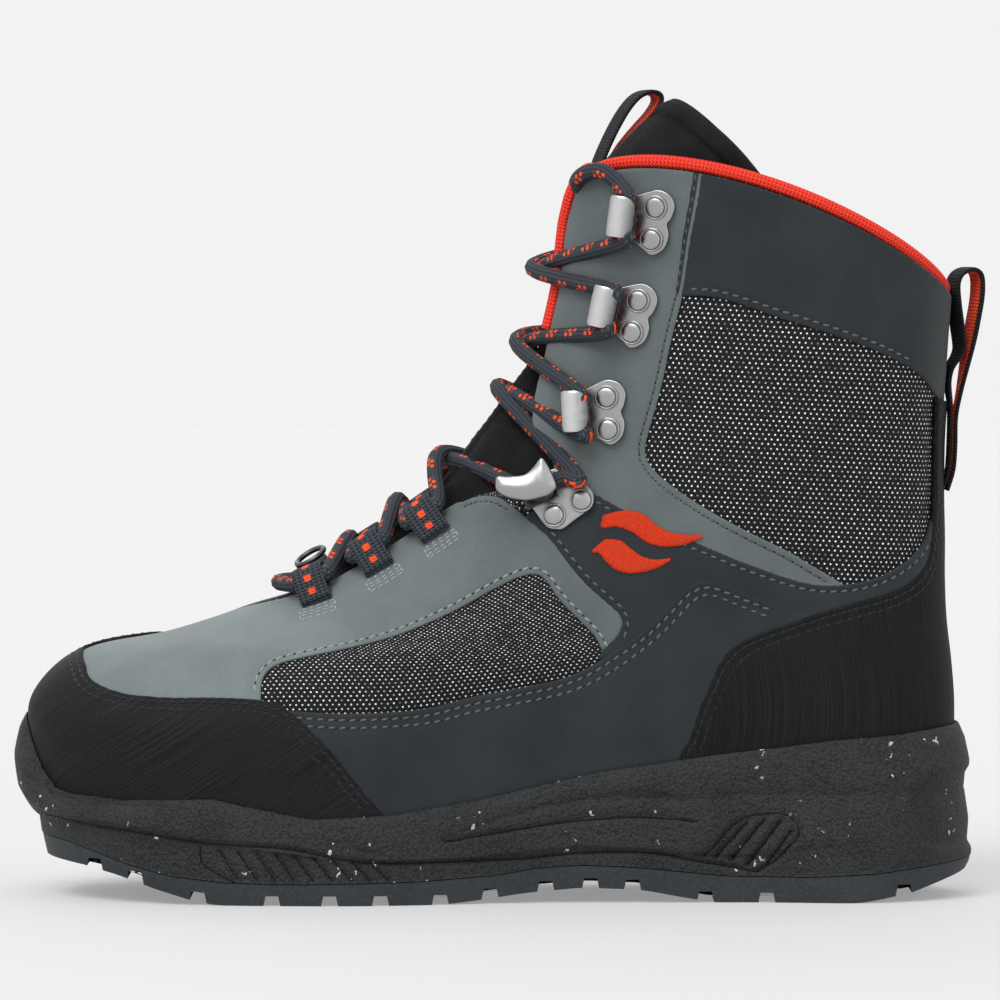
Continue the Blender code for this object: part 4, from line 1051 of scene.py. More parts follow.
def painted_highlight_metal(name, low, high, peak, spread):
    """Bent metal with painted light: a bright painted highlight at a distance along the bend from its start,
    and painted shade elsewhere.
    """
    f = Finish(name, 0.3, 1.0)
    along, _ = f.cloth()
    # Painted highlight where the bend would reflect the light, fading to painted shade on either side
    painted_highlight = f.between(abs(along - peak), spread, 0.0)
    # Random patches in the painted light
    painted_light = f.noise(f.place(), 500, 3) * 0.25
    f.colour(f.mix(painted_highlight + (painted_light - 0.12), low, high))
    return f.material


def nubuck(name, low, high, painted_light=1.0):
    """Brushed leather, with painted light that makes it paler towards the toe by a factor."""
    f = Finish(name, 0.78, Sheen_Weight=0.12, Sheen_Roughness=0.5)
    place = f.place()
    broad, grain = f.noise(place, 55, 4), f.noise(place, 2100, 3)
    share = f.between(broad * 0.6 + grain * 0.4, 0.34, 0.66)
    plain_colour = f.mix(share, low, high)
    # Painted light: the same leather painted paler towards the toe, as if lit more strongly there
    pale = f.mix(share, [c * painted_light for c in low], [c * painted_light for c in high])
    f.colour(f.mix(f.between(f.part(place, 0), *PAINTED_LIGHT_FROM), plain_colour, pale))
    f.bump(grain, 0.07 * MM, 0.6)
    return f.material


def dotted(name):
    """Black woven cloth with staggered rows of pale dots."""
    f = Finish(name, 0.75)
    across, up = f.cloth()
    rows = up / DOT_ROW
    x = ((across / DOT_PITCH + rows.floor() * 0.5).fraction() - 0.5) * (DOT_PITCH / DOT_RADIUS)
    y = (rows.fraction() - 0.5) * (DOT_ROW / DOT_RADIUS)
    dot = f.between((x * x + y * y).root(), 1.2, 0.7)
    patch = f.between(f.noise(f.place(), 900), 0.35, 0.62)
    pale = f.mix(patch, (0.15, 0.15, 0.15), (0.95, 0.95, 0.93))
    twill = (across - up).wave(0.95 * MM)
    ground = f.mix(f.between(twill, 0.2, 1), (0.003, 0.003, 0.004), (0.017, 0.017, 0.018))
    f.colour(f.mix(dot, ground, pale))
    f.bump(twill * 0.3 + dot, 0.16 * MM, 0.6)
    return f.material


def brushed(name, lean, low, high, depth):
    """Coated black cloth with fine lines at a lean from level, in radians."""
    f = Finish(name, 0.72)
    across, up = f.cloth()
    along = across * math.cos(lean) + up * math.sin(lean)
    over = up * math.cos(lean) - across * math.sin(lean)
    stretched = f.node("ShaderNodeCombineXYZ", along * 22, over * 2600)
    share = f.noise(stretched, 1.0, 3) * 0.75 + f.noise(f.place(), 1500) * 0.25
    f.colour(f.mix(f.between(share, 0.38, 0.66), low, high))
    f.bump(share, depth, 0.9)
    return f.material


def rubber(name, low, high, depth, chipped=False):
    """Pebbled rubber or foam, with scattered pale chips if it is chipped."""
    f = Finish(name, 0.62)
    place = f.place()
    pebble = f.noise(place, 700, 3) - f.cells(place, 1000) * 0.9
    tone = f.noise(place, 60, 3) * 0.5 + pebble * 0.5
    ground = f.mix(f.between(tone, 0.05, 0.45), low, high)
    if chipped:
        chips = f.between(f.noise(place, 400, 2.5), 0.675, 0.69)
        sparse = f.between(f.noise(place, 48, 1), 0.53, 0.58)
        ground = f.mix(chips * sparse, ground, (0.46, 0.47, 0.49))
    f.colour(ground)
    f.bump(pebble, depth, 0.9)
    return f.material


def webbing(name, ground, edge, marks=None):
    """Woven band, with square marks down its middle if they have a colour."""
    f = Finish(name, 0.8)
    along, across = f.cloth()
    lean = (across / (1.7 * MM)).fold()
    weave = (along / (1.1 * MM) + lean).wave() * 0.5 + lean * 2.0
    colour = f.mix(f.between(weave, -0.4, 1.2), ground, edge)
    if marks:
        middle = f.between(abs(across), 1.25 * MM, 1.05 * MM)
        mark = f.between((along / MARK_PITCH).fold(), 0.25, 0.21)
        colour = f.mix(middle * mark, colour, marks)
    f.colour(colour)
    f.bump(weave, 0.3 * MM, 0.9)
    return f.material


def braid(name):
    """Round lace: ribs run along it with painted shade in the grooves between them, and stepped flecks of
    colour repeat on some of them.
    """
    f = Finish(name, 0.8)
    along, around = f.cloth()
    ribs = around * LACE_RIBS
    rib = ribs.floor()
    beat = (along / FLECK_PITCH + rib * 0.05).fraction()
    dash = ((beat + rib % 2 * 0.13) * 4).fraction()
    chosen = f.maths("LESS_THAN", rib % 5, 1.5)
    fleck = f.between(dash, 0.56, 0.48) * f.between(beat, 0.52, 0.50) * chosen
    plait = (along / (0.85 * MM) + rib * 0.5).wave()
    groove = ribs.fold()
    ground = f.mix(f.between(plait, -1, 1), (0.022, 0.027, 0.036), (0.052, 0.061, 0.076))
    colour = f.mix(fleck, ground, (0.80, 0.085, 0.020))
    # Painted shade: the grooves between the ribs turn near-black
    f.colour(f.mix(f.between(groove, 0.36, 0.5), colour, (0.006, 0.007, 0.009)))
    f.bump(plait * 0.35 - groove, 0.3 * MM, 0.9)
    return f.material


def knit(name, low, high):
    """Knitted binding: small slanting stitches that meet in chevrons."""
    f = Finish(name, 0.7)
    along, around = f.cloth()
    fold = (around * 10).fold()
    share = (along / (1.25 * MM) + fold).wave() * 0.35 + fold
    f.colour(f.mix(f.between(share, -0.2, 0.6), low, high))
    f.bump(share, 0.25 * MM, 0.8)
    return f.material


def metal(name, colour, roughness):
    """Plated steel with faint scuffs."""
    f = Finish(name, roughness, 1.0)
    scuff = f.noise(f.place(), 260, 4)
    f.set("Roughness", f.between(scuff, 0.3, 0.7, roughness - 0.06, roughness + 0.08))
    f.colour(colour)
    f.bump(scuff, 0.02 * MM, 0.5)
    return f.material


def woven(name, low, high, pitch, depth):
    """Plain fine mesh or knit along the cloth."""
    f = Finish(name, 0.85)
    across, up = f.cloth()
    grid = across.wave(pitch) * up.wave(pitch)
    cloud = f.between(f.noise(f.place(), 120, 3), 0.1, 0.9)
    f.colour(f.mix(f.between(grid, -1, 1) * cloud, low, high))
    f.bump(grid, depth, 0.8)
    return f.material


def thread(name, colour):
    """Sewing thread with fine fibres."""
    f = Finish(name, 0.6, Sheen_Weight=0.2)
    fibre = f.noise(f.place(), 3200)
    f.colour(f.mix(fibre, [c * 0.7 for c in colour], [c * 1.25 for c in colour]))
    f.bump(fibre, 0.04 * MM, 0.6)
    return f.material


# Each finish: the colour slot that its pieces share, and its material
FINISHES = {
    # The pale leather carries painted light and is 1.5 times paler towards the toe
    "light": ("grey", nubuck("light_nubuck", (0.084, 0.101, 0.103), (0.110, 0.130, 0.132), 1.5)),
    "slate": ("slate", nubuck("slate_nubuck", (0.0143, 0.0180, 0.0212), (0.0217, 0.0260, 0.0290))),
    "dots": ("base", dotted("dotted_mesh")),
    "toe": ("black", brushed(
        "toe_cloth", -0.62, (0.0018, 0.0018, 0.0024), (0.0125, 0.0120, 0.0148), 0.14 * MM)),
    "counter": ("black", brushed(
        "counter_cloth", math.pi / 2, (0.0010, 0.0012, 0.0012), (0.0072, 0.0082, 0.0078), 0.12 * MM)),
    "midsole": ("midsole", rubber(
        "midsole_foam", (0.0125, 0.0135, 0.0140), (0.0260, 0.0275, 0.0285), 0.55 * MM, chipped=True)),
    # Near-black rubber for the tubes of painted shade in the grooves
    "crease": ("midsole", rubber(
        "groove_shade_rubber", (0.0010, 0.0010, 0.0012), (0.0030, 0.0030, 0.0034), 0.12 * MM)),
    "outsole": ("outsole", rubber("outsole_rubber", (0.027, 0.031, 0.035), (0.037, 0.042, 0.047), 0.12 * MM)),
    "band": ("lace", webbing(
        "loop_webbing", (0.010, 0.012, 0.016), (0.052, 0.060, 0.072), (0.86, 0.085, 0.02))),
    "pull": ("lace", webbing("pull_webbing", (0.003, 0.004, 0.005), (0.018, 0.021, 0.025))),
    "red_band": ("orange", webbing("red_webbing", (0.36, 0.022, 0.008), (0.78, 0.070, 0.022))),
    "lace": ("lace", braid("lace_braid")),
    "knit": ("orange", knit("binding_knit", (0.42, 0.012, 0.006), (0.88, 0.050, 0.024))),
    "metal": ("metal", metal("nickel", (0.38,) * 3, 0.30)),
    # The curl's colour is painted light: dark painted shade with a bright painted highlight along the bend
    "curl": ("metal", painted_highlight_metal("nickel_with_painted_highlight", (0.055, 0.055, 0.058), (0.66,) * 3, 15.4 * MM, 6.4 * MM)),
    "shade": ("metal", metal("dark_nickel", (0.10,) * 3, 0.38)),
    "lining": ("base", woven("lining_mesh", (0.003,) * 3, (0.022, 0.022, 0.024), 1.6 * MM, 0.2 * MM)),
    "tongue": ("tongue", woven("tongue_cloth", (0.003,) * 3, (0.016, 0.016, 0.017), 0.9 * MM, 0.12 * MM)),
    "ribbed": ("tongue", woven(
        "ribbed_webbing", (0.002, 0.002, 0.003), (0.020, 0.020, 0.022), 0.8 * MM, 0.2 * MM)),
    "insole": ("insole", woven(
        "insole_knit", (0.010, 0.010, 0.011), (0.040, 0.041, 0.044), 1.3 * MM, 0.15 * MM)),
    "thread_pale": ("grey", thread("pale_thread", (0.26, 0.29, 0.29))),
    "thread_grey": ("grey", thread("grey_thread", (0.060, 0.070, 0.072))),
    "thread_steel": ("slate", thread("steel_thread", (0.075, 0.100, 0.112))),
    # Dark thread, also used for the dashes of painted shade at each needle hole between stitches
    "thread_dark": ("black", thread("dark_thread", (0.005, 0.006, 0.007))),
    "thread_orange": ("orange", satin("orange_thread", (1.0, 0.062, 0.014))),
}


def mirrored(line, front):
    """A line of the outer side on the inner side, from the other side of the front or of the back."""
    line = np.array(line)
    return np.stack([(1 if front else 0) - line[:, 0], line[:, 1]], 1)


def sunk(line, drop):
    """The same seam some levels lower, to run on under the layer that covers it."""
    return [(turn, level - drop) for turn, level in line]


def throat_line(start, end):
    """The throat's outer edge from one level to another."""
    return [(float(throat_turn(level)), level) for level in np.linspace(start, end, 14)]


def join_lines(*lines):
    """One closed outline from seams that meet at corners."""
    return np.concatenate([seam(line)[:-1] for line in lines])


def level_line(level, *turns):
    """A seam that keeps to one level."""
    return [(turn, level) for turn in turns]


def panel_outlines():
    """Each sewn layer's outline: its name, finish, CAD nodes and closed line of (turn, level)."""
    foot = level_line(FOOT_LEVEL, 0.290, 0.40, 0.5, 0.60, 0.710)
    yield "toe_cap", "toe", ("toe_cap",), join_lines(TOE_EDGE, foot, INNER_TOE_EDGE[::-1])
    yield "vamp", "light", ("vamp",), vamp_outline()
    for name, finish, node, lines in side_layers():
        for side, word in SIDES:
            turned = [np.array(line) * (side, 1) for line in lines]
            nodes = (f"{node}_{word}",) if node else ()
            yield f"{name}_{word}", finish, nodes, join_lines(*turned)
    for part, wave in MOTIF:
        for side, word in SIDES:
            turned = [(turn * side, level) for turn, level in wave]
            yield f"motif_{part}_{word}", "thread_orange", (), join_lines(turned)
    collar = level_line(TOP, *np.linspace(-0.306, 0.306, 9))
    end = [(0.306, TOP), (0.310, 10.0), (0.312, 9.04)]
    yield "cuff", "slate", ("cuff",), join_lines(
        collar, end, CUFF_LOW, mirrored(CUFF_LOW, False)[::-1], mirrored(end, False)[::-1])
    heel_foot = level_line(FOOT_LEVEL, -0.189, 0.0, 0.189)
    heel_top = [(0.054, 8.56), (0.028, 8.58), (0.0, 8.58), (-0.028, 8.58), (-0.054, 8.56)]
    yield "heel_counter", "counter", ("heel_counter",), join_lines(
        heel_foot, COUNTER, heel_top, mirrored(COUNTER, False)[::-1])


def vamp_outline():
    """The vamp runs on under the toe cap and closes round the base of the throat."""
    lip = sunk(TOE_EDGE[:10], TOE_UNDERLAP)
    lip_inner = sunk(INNER_TOE_EDGE[:8], TOE_UNDERLAP)[::-1]
    outer = [WINDOW_TOP, VAMP_REAR[::-1], VAMP_CORNER[::-1], throat_line(6.56, THROAT_BASE)]
    inner = [mirrored(line, True)[::-1] for line in outer[::-1]]
    link = [lip[-1], WINDOW_TOP[0]]
    link_inner = mirrored(link, True)[::-1]
    link_inner[-1] = lip_inner[0]
    return join_lines(lip, link, *outer, *inner, link_inner, lip_inner)


def side_layers():
    """Layers that both sides have: name, finish, CAD node and the seams round the outer one."""
    top = level_line(TOP, *np.linspace(EYESTAY_REAR[0][0], throat_turn(TOP), 5))
    yield "eyestay", "light", "eyestay", (
        top, throat_line(TOP, EYESTAY_FOOT[-1][1]), EYESTAY_FOOT[::-1], STRAP_UNDER[::-1], EYESTAY_REAR[::-1])
    yield "ankle", "slate", None, (
        ANKLE_TOP, ANKLE_REAR, VAMP_REAR[::-1][1:], ((0.343, 6.40), (0.340, 6.56), (0.335, 6.68)))
    yield "guard", "slate", "side_guard", (
        GUARD_TOP,
        ((0.134, 4.22), (0.146, 3.80), (0.160, 3.40), (0.164, 2.50), (0.168, 1.30), (0.176, FOOT_LEVEL)),
        level_line(FOOT_LEVEL, 0.176, 0.230, 0.298),
        ((0.298, FOOT_LEVEL), (0.310, 0.80), (0.324, 1.40), (0.330, 1.84)))


def fill_flat(edge, rings, spacing):
    """Triangles over a flat closed line: its own points, rows inside its edge and an even grid."""
    closed = np.vstack([edge[-1:], edge, edge[:1]])
    area = np.sum(edge[:, 0] * np.roll(edge[:, 1], -1) - np.roll(edge[:, 0], -1) * edge[:, 1])
    ahead = closed[2:] - closed[:-2]
    inward = unit(np.stack([-ahead[:, 1], ahead[:, 0]], 1) * np.sign(area))
    dense = tree_of(resample(np.vstack([edge, edge[:1]]), 0.5 * MM))
    extra = []
    for ring in rings:
        points = edge + inward * ring
        gap = distance_to(dense, points)
        extra.append(points[(gap > ring * 0.85) & in_polygon(points, edge)])
    low, high = edge.min(axis=0), edge.max(axis=0)
    xs = np.arange(low[0], high[0], spacing)
    ys = np.arange(low[1], high[1], spacing * 0.87)
    grid = np.array([(x + (i % 2) * spacing / 2, y) for i, y in enumerate(ys) for x in xs])
    grid = grid[in_polygon(grid, edge)]
    gap = distance_to(dense, grid)
    extra.append(grid[gap > max(rings) + spacing * 0.6])
    points = [Vector(point) for point in np.vstack([edge, *extra])]
    verts, _, faces, *_ = delaunay_2d_cdt(points, [], [list(range(len(edge)))], 1, 1e-7)
    return np.array(verts), np.array([face for face in faces if len(face) == 3])


def fill_outline(outline, rings):
    """Triangles over a closed line of (turn, level)."""
    flat = outline * DOMAIN
    edge = resample(np.vstack([flat, flat[:1]]), 1.1 * MM)[:-1]
    points, faces = fill_flat(edge, rings, POINT_SPACING)
    return points / DOMAIN, faces


def closed_sheet(points, faces, low):
    """Points and faces of a solid between a sheet of triangles and the same sheet at lower points."""
    count = len(points)
    edges = np.concatenate([faces[:, [0, 1]], faces[:, [1, 2]], faces[:, [2, 0]]]).tolist()
    paired = {(b, a) for a, b in edges}
    rim = [(a, b) for a, b in edges if (a, b) not in paired]
    all_faces = faces.tolist() + (faces[:, ::-1] + count).tolist()
    return np.vstack([points, low]), all_faces + [(b, a, a + count, b + count) for a, b in rim]


def layer_of(name):
    """The kind of layer that a piece belongs to."""
    return next(layer for layer in HEIGHTS if name.startswith(layer))


def panel_height(name, points, outline, stitched):
    """How far a layer's outer face stands off the last: rounded at its edge and sunk along its stitching."""
    gap = distance_to(tree_of(on_seam(outline)), points)
    height = HEIGHTS[layer_of(name)] * MM * (0.5 + 0.5 * rounded(gap / EDGE_ROUND))
    if stitched:
        near = distance_to(tree_of(np.concatenate(stitched)), points)
        height = height - SEAM_SINK * np.exp(-((near / SEAM_SPREAD) ** 2))
    return height


def build_panel(name, finish, nodes, outline, stitched):
    """A sewn layer as a thin closed solid that follows the last."""
    flat, faces = fill_outline(outline, PANEL_RINGS)
    turn, level = flat[:, 0], np.clip(flat[:, 1], 0, TOP)
    points = last_point(turn, level)
    height = panel_height(name, points, outline, stitched)
    out = last_axes(turn, level)[2]
    corners = points[faces]
    facing = np.cross(corners[:, 1] - corners[:, 0], corners[:, 2] - corners[:, 0])
    if np.sum(facing * out[faces[:, 0]]) < 0:
        faces = faces[:, ::-1]
    foot = MOTIF_FOOT if layer_of(name) == "motif" else PANEL_FOOT
    solid, all_faces = closed_sheet(points + out * height[:, None], faces, points + out * foot)
    uv = cloth(turn, level)
    add_piece(name, solid, all_faces, finish, np.vstack([uv, uv]), nodes)


def stitch_rows():
    """Every row of stitching as its layer's piece, the layer, its thread and its line of (turn, level)."""
    for layer, thread, line, insets, kind in STITCHING:
        for inset in insets:
            path = shifted(seam(line), inset * MM)
            yield f"{layer}_outer" if kind == "sides" else layer, layer, thread, path
            if kind == "sides":
                yield f"{layer}_inner", layer, thread, path * (-1, 1)
            elif kind != "once":
                yield layer, layer, thread, mirrored(path, kind == "front")


def add_stitches(join, path, height, pitch=STITCH_PITCH, length=STITCH_LENGTH, between=False):
    """Stitches arched over a seam at a height off the last, or in the gaps between them."""
    line = resample(path, pitch, on_seam)
    if between:
        line = (line[1:] + line[:-1]) / 2
    middle = (line[1:] + line[:-1]) / 2
    turn, level = middle[:, 0], middle[:, 1]
    out = last_axes(turn, level)[2]
    centre = last_point(turn, level) + out * height
    ahead = unit(on_seam(line[1:]) - on_seam(line[:-1]))
    side = np.cross(out, ahead)
    ahead = ahead + side * STITCH_SKEW
    angles = np.arange(STITCH_SIDES) / STITCH_SIDES * 2 * np.pi
    faces = rod_faces(len(STITCH_PROFILE), STITCH_SIDES)
    for c, a, s, o in zip(centre, ahead, side, out):
        rows = []
        for along, thick, lift in STITCH_PROFILE:
            ring = np.cos(angles)[:, None] * s * THREAD + np.sin(angles)[:, None] * o * THREAD * 0.8
            rows.append(c + a * along * length / 2 + o * lift * THREAD + ring * thick)
        join.add(np.concatenate(rows), faces)


def build_stitching():
    """All stitches of one thread as one piece, with dark dashes between them that are painted shade where the
    needle pierced.
    """
    threads = {}
    for _, layer, thread, path in stitch_rows():
        height = HEIGHTS[layer] * MM - SEAM_SINK
        add_stitches(threads.setdefault(thread, Join()), path, height + THREAD_LIFT)
        # Painted shade: dark thread dashes in the gaps between stitches, where each needle hole lies
        hole_shade = threads.setdefault("dark", Join())
        add_stitches(hole_shade, path, height + HOLE_SHADE_LIFT, length=HOLE_SHADE_LENGTH, between=True)
    for thread, join in threads.items():
        join.build(f"stitching_{thread}", f"thread_{thread}")


def solid_sheet(outer, inner):
    """Points and faces of a closed solid between two grids of the same size."""
    rows, columns = outer.shape[:2]
    far = rows * columns
    points = np.concatenate([outer.reshape(-1, 3), inner.reshape(-1, 3)])
    faces = grid_faces(rows, columns) + grid_faces(rows, columns, far, flip=True)
    edge = [(i, 0) for i in range(rows)] + [(rows - 1, j) for j in range(1, columns)]
    edge += [(i, columns - 1) for i in range(rows - 2, -1, -1)] + [(0, j) for j in range(columns - 2, 0, -1)]
    index = [i * columns + j for i, j in edge]
    faces += [(a, b, far + b, far + a) for a, b in zip(index, index[1:] + index[:1])]
    return points, [face[::-1] for face in faces]


def shell_grid(columns, rows):
    """Turns and levels over the upper, from one edge of the throat round the heel to the other."""
    levels = np.unique(np.append(np.linspace(0, TOP, rows), THROAT_BASE))
    turns = np.linspace(-1, 1, columns)[None, :] * throat_turn(levels)[:, None]
    return turns, np.broadcast_to(levels[:, None], turns.shape)


def fabric_swell(turn, level, outlines):
    """The padded fabric swells where no layer is sewn over it, apart from a crease along the ankle."""
    flat = np.stack([turn.ravel(), level.ravel()], 1)
    covered = np.zeros(len(flat), bool)
    for outline in outlines:
        covered |= in_polygon(flat, outline) | in_polygon(flat + (1, 0), outline)
    points = on_seam(flat)
    edges = tree_of(np.concatenate([on_seam(outline) for outline in outlines]))
    swell = SWELL * ease(distance_to(edges, points) / SWELL_REACH)
    swell[covered] = 0
    crease = seam(CREASE)
    near = distance_to(tree_of(on_seam(np.vstack([crease, crease * (-1, 1)]))), points)
    swell = swell - CREASE_DEPTH * np.exp(-((near / CREASE_REACH) ** 2)) * ~covered
    return swell.reshape(turn.shape)


def build_shell(outlines):
    """The upper's padded fabric outside and its lining inside."""
    turn, level = shell_grid(221, 121)
    swell = fabric_swell(turn, level, outlines)
    uv = cloth(turn, level)
    height = last_point(turn, level) @ np.array([SHAFT_ROW_LEAN, 0, 1])
    shaft = level - SHAFT_LEVEL + (SHAFT_TURN - np.abs(turn)) * SHAFT_SLOPE
    uv[..., 1] += (height - uv[..., 1]) * ramp(shaft, *SHAFT_BLEND)
    uv = np.tile(uv.reshape(-1, 2), (2, 1))
    points, faces = solid_sheet(on_last(turn, level, swell), on_last(turn, level, 0 * turn - CLOTH_THICKNESS))
    add_piece("upper_fabric", points, faces, "dots", uv, ("upper",))
    turn, level = shell_grid(141, 81)
    uv = cloth(turn, level).reshape(-1, 2)
    uv = np.vstack([uv, uv])
    outer = on_last(turn, level, 0 * turn - CLOTH_THICKNESS - GAP / 6)
    points, faces = solid_sheet(outer, on_last(turn, level, -wall_at(level)))
    add_piece("upper_lining", points, faces, "lining", uv)


def ring_solid(rows):
    """Faces of a stack of rings, with strips across the first and the last."""
    count = len(rows[0])
    faces = grid_faces(len(rows), count, closed=True)
    last = (len(rows) - 1) * count
    for j in range(count // 2):
        strip = list(dict.fromkeys((j, j + 1, count - j - 1, (count - j) % count)))
        faces.append(strip)
        faces.append([last + k for k in strip[::-1]])
    return np.concatenate(rows), [face[::-1] for face in faces]


def line_gap(points, line):
    """Distance from each flat point to a line of straight pieces."""
    gap = np.full(len(points), 1e9)
    for a, b in zip(np.array(line[:-1]), np.array(line[1:])):
        along = b - a
        t = np.clip((points - a) @ along / (along @ along), 0, 1)
        gap = np.minimum(gap, np.linalg.norm(points - a - t[:, None] * along, axis=1))
    return gap


def sole_relief(x, z):
    """How deep the midsole's side is moulded at a place along and above the floor, in metres."""
    flat = np.stack([x, z], 1) / MM
    depth = np.zeros(len(flat))
    for line, half_width, deep in SOLE_GROOVES:
        gap = line_gap(flat, catmull(line, 6))
        depth = np.maximum(depth, deep * ease((half_width * 1.5 - gap) / half_width))
    for outline, slope, deep in SOLE_HOLLOWS:
        closed = catmull(outline + outline[:1], 6)
        depth = np.maximum(depth, deep * ease(line_gap(flat, closed) / slope) * in_polygon(flat, closed))
    return depth * MM


def build_midsole():
    """The cup sole: side wall with its moulded grooves, rim, and the cup that holds the upper."""
    turn = np.arange(MIDSOLE_COLUMNS) / MIDSOLE_COLUMNS
    table = np.array(MIDSOLE_WALL)
    place_up = table[:, 0] + table[:, 1]
    stations = np.unique(np.concatenate([place_up, np.linspace(0, 1, 15), np.linspace(1, 2, 27)]))
    rows = []
    for station in stations:
        above = int(station > 1 or station in place_up[table[:, 0] == 1])
        shape = [np.interp(station, place_up, column) for column in table[:, 2:].T]
        ring = sole_ring(turn, above, station - above, *shape)
        away = unit(last_axes(turn, level_at_height(turn, ring[:, 2]))[2] * (1, 1, 0))
        rows.append(ring - away * sole_relief(ring[:, 0], ring[:, 2])[:, None])
    rim_level = level_at_height(turn, rows[-1][:, 2])
    crown = (rows[-1] + on_last(turn, rim_level, np.full(len(turn), CUP_CLEARANCE))) / 2
    crown[:, 2] += RIM_CROWN
    rows.append(crown)
    for share in np.linspace(1, 0, CUP_ROWS):
        ring = on_last(turn, rim_level * share, np.full(len(turn), CUP_CLEARANCE))
        ring[:, 2] -= GAP * (1 - share)
        rows.append(ring)
    points, faces = ring_solid(rows)
    add_piece("midsole_cup", points, faces, "midsole", nodes=("midsole",))
    build_groove_shade(BVHTree.FromPolygons(points.tolist(), faces))


def build_groove_shade(wall):
    """Thin near-black tubes laid in the moulded grooves on both sides: painted shade that stands for the
    grooves' shadow.
    """
    join = Join()
    for line, _, _ in SOLE_GROOVES:
        for side in (1, -1):
            starts = [(x, side * BALL_WIDTH, z) for x, z in resample(catmull(line, 6) * MM, 0.9 * MM)]
            hits = [wall.ray_cast(start, (0, -side, 0))[0] for start in starts]
            points, faces, _ = tube(np.array([hit for hit in hits if hit]), GROOVE_SHADE_RADIUS, 6)
            join.add(points, faces)
    join.build("painted_groove_shade", "crease")


def cut(obj, points, faces):
    """Cuts a shape out of a piece."""
    mesh = bpy.data.meshes.new("cutter")
    mesh.from_pydata([tuple(p) for p in to_frame(np.array(points))], [], faces)
    edit = bmesh.new()
    edit.from_mesh(mesh)
    bmesh.ops.recalc_face_normals(edit, faces=edit.faces)
    edit.to_mesh(mesh)
    edit.free()
    cutter = bpy.data.objects.new("cutter", mesh)
    bpy.context.scene.collection.objects.link(cutter)
    modifier = obj.modifiers.new("cut", "BOOLEAN")
    modifier.operation = "DIFFERENCE"
    modifier.solver = "EXACT"
    modifier.object = cutter
    modifier.use_hole_tolerant = True
    bake(obj)
    bpy.data.objects.remove(cutter)


def bake(obj):
    """Makes a piece's modifiers part of its mesh."""
    graph = bpy.context.evaluated_depsgraph_get()
    mesh = bpy.data.meshes.new_from_object(obj.evaluated_get(graph))
    obj.modifiers.clear()
    obj.data = mesh


def floor_at(x):
    """Height of the tread's face at a place along the sole."""
    return read_line(FLOOR_LINE, x / SOLE_LENGTH) * COLLAR_HEIGHT


def build_outsole():
    """The tread: a rim all round, lugs parted by slots across and channels along."""
    turn = np.arange(OUTSOLE_COLUMNS) / OUTSOLE_COLUMNS
    rows = []
    for out, line, drop in OUTSOLE_RINGS:
        ring = sole_ring(turn, *MIDSOLE_WALL[0]) - last_axes(turn, 0 * turn)[2] * out * MM
        ring[:, 2] = read_line(line, sole_share(turn)) * COLLAR_HEIGHT - drop
        rows.append(ring)
    floor = rows[-1][np.argsort(rows[-1][:, 0])]
    points, faces = ring_solid(rows[::-1])
    obj = add_piece("tread", points, faces, "outsole", nodes=("outsole",), faceted=True)
    for side, _ in SIDES:
        cut(obj, *channel_cutter(side))
    cut(obj, *slot_cutter(floor))
    bevel = obj.modifiers.new("worn_edges", "BEVEL")
    bevel.width = LUG_ROUND
    bevel.segments = 2
    bevel.limit_method = "ANGLE"
    bevel.angle_limit = math.radians(40)
    bake(obj)


def channel_cutter(side):
    """A channel along the sole on one side, which bends with the foot."""
    stations = np.array([share for share, _ in FLOOR_LINE[3:-3]]) * SOLE_LENGTH
    middle = side * CHANNEL_REACH - 0.05 * BALL_WIDTH * ease(stations / SOLE_LENGTH)
    half, low, high = CHANNEL_WIDTH / 2, -BALL_WIDTH / 8, LUG_DEPTH * 0.8
    square = ((-half, low), (half, low), (half, high), (-half, high))
    rows = [[(x, m + y, floor_at(x) + z) for y, z in square] for x, m in zip(stations, middle)]
    return np.concatenate(rows), rod_faces(len(rows), 4)


def slot_cutter(floor):
    """Tapered boxes across the sole: at both sides, and between the channels a little further back."""
    inside = CHANNEL_REACH - CHANNEL_WIDTH / 4
    runs = ((0, -BALL_WIDTH, -CHANNEL_REACH), (0, CHANNEL_REACH, BALL_WIDTH), (MIDDLE_SHIFT, -inside, inside))
    boxes = Join()
    for shift, near, far in runs:
        for share in SLOTS:
            if shift and share in SHORT_SLOTS:
                continue
            x = share * SOLE_LENGTH + shift
            top = np.interp(x, floor[:, 0], floor[:, 2]) + LUG_DEPTH
            boxes.add([
                (x + px * SLOT_WIDTH * wide, y, z)
                for z, wide in ((floor_at(x) - BALL_WIDTH / 8, 1.2), (top, 0.45))
                for px, y in ((-1, near), (1, near), (1, far), (-1, far))
            ], BOX_FACES)
    return np.concatenate(boxes.points), boxes.faces


def build_insole():
    """The removable sock, with a rounded upper edge."""
    turn = np.arange(INSOLE_COLUMNS) / INSOLE_COLUMNS
    rows = []
    for inset, lift in INSOLE_RINGS:
        ring = on_last(turn, 0 * turn, -WALL - INSOLE_PLAY - inset * MM + 0 * turn)
        ring[:, 2] = bed_height(ring[:, 0]) + GAP + INSOLE_THICKNESS * lift
        rows.append(ring)
    points, faces = ring_solid(rows)
    add_piece("sock", points, faces, "insole", points[:, :2], ("insole",))


def tongue_sheet(across, level, outer, inner):
    """Points and faces of the tongue between two depths."""
    return solid_sheet(tongue_point(across, level, outer), tongue_point(across, level, inner))


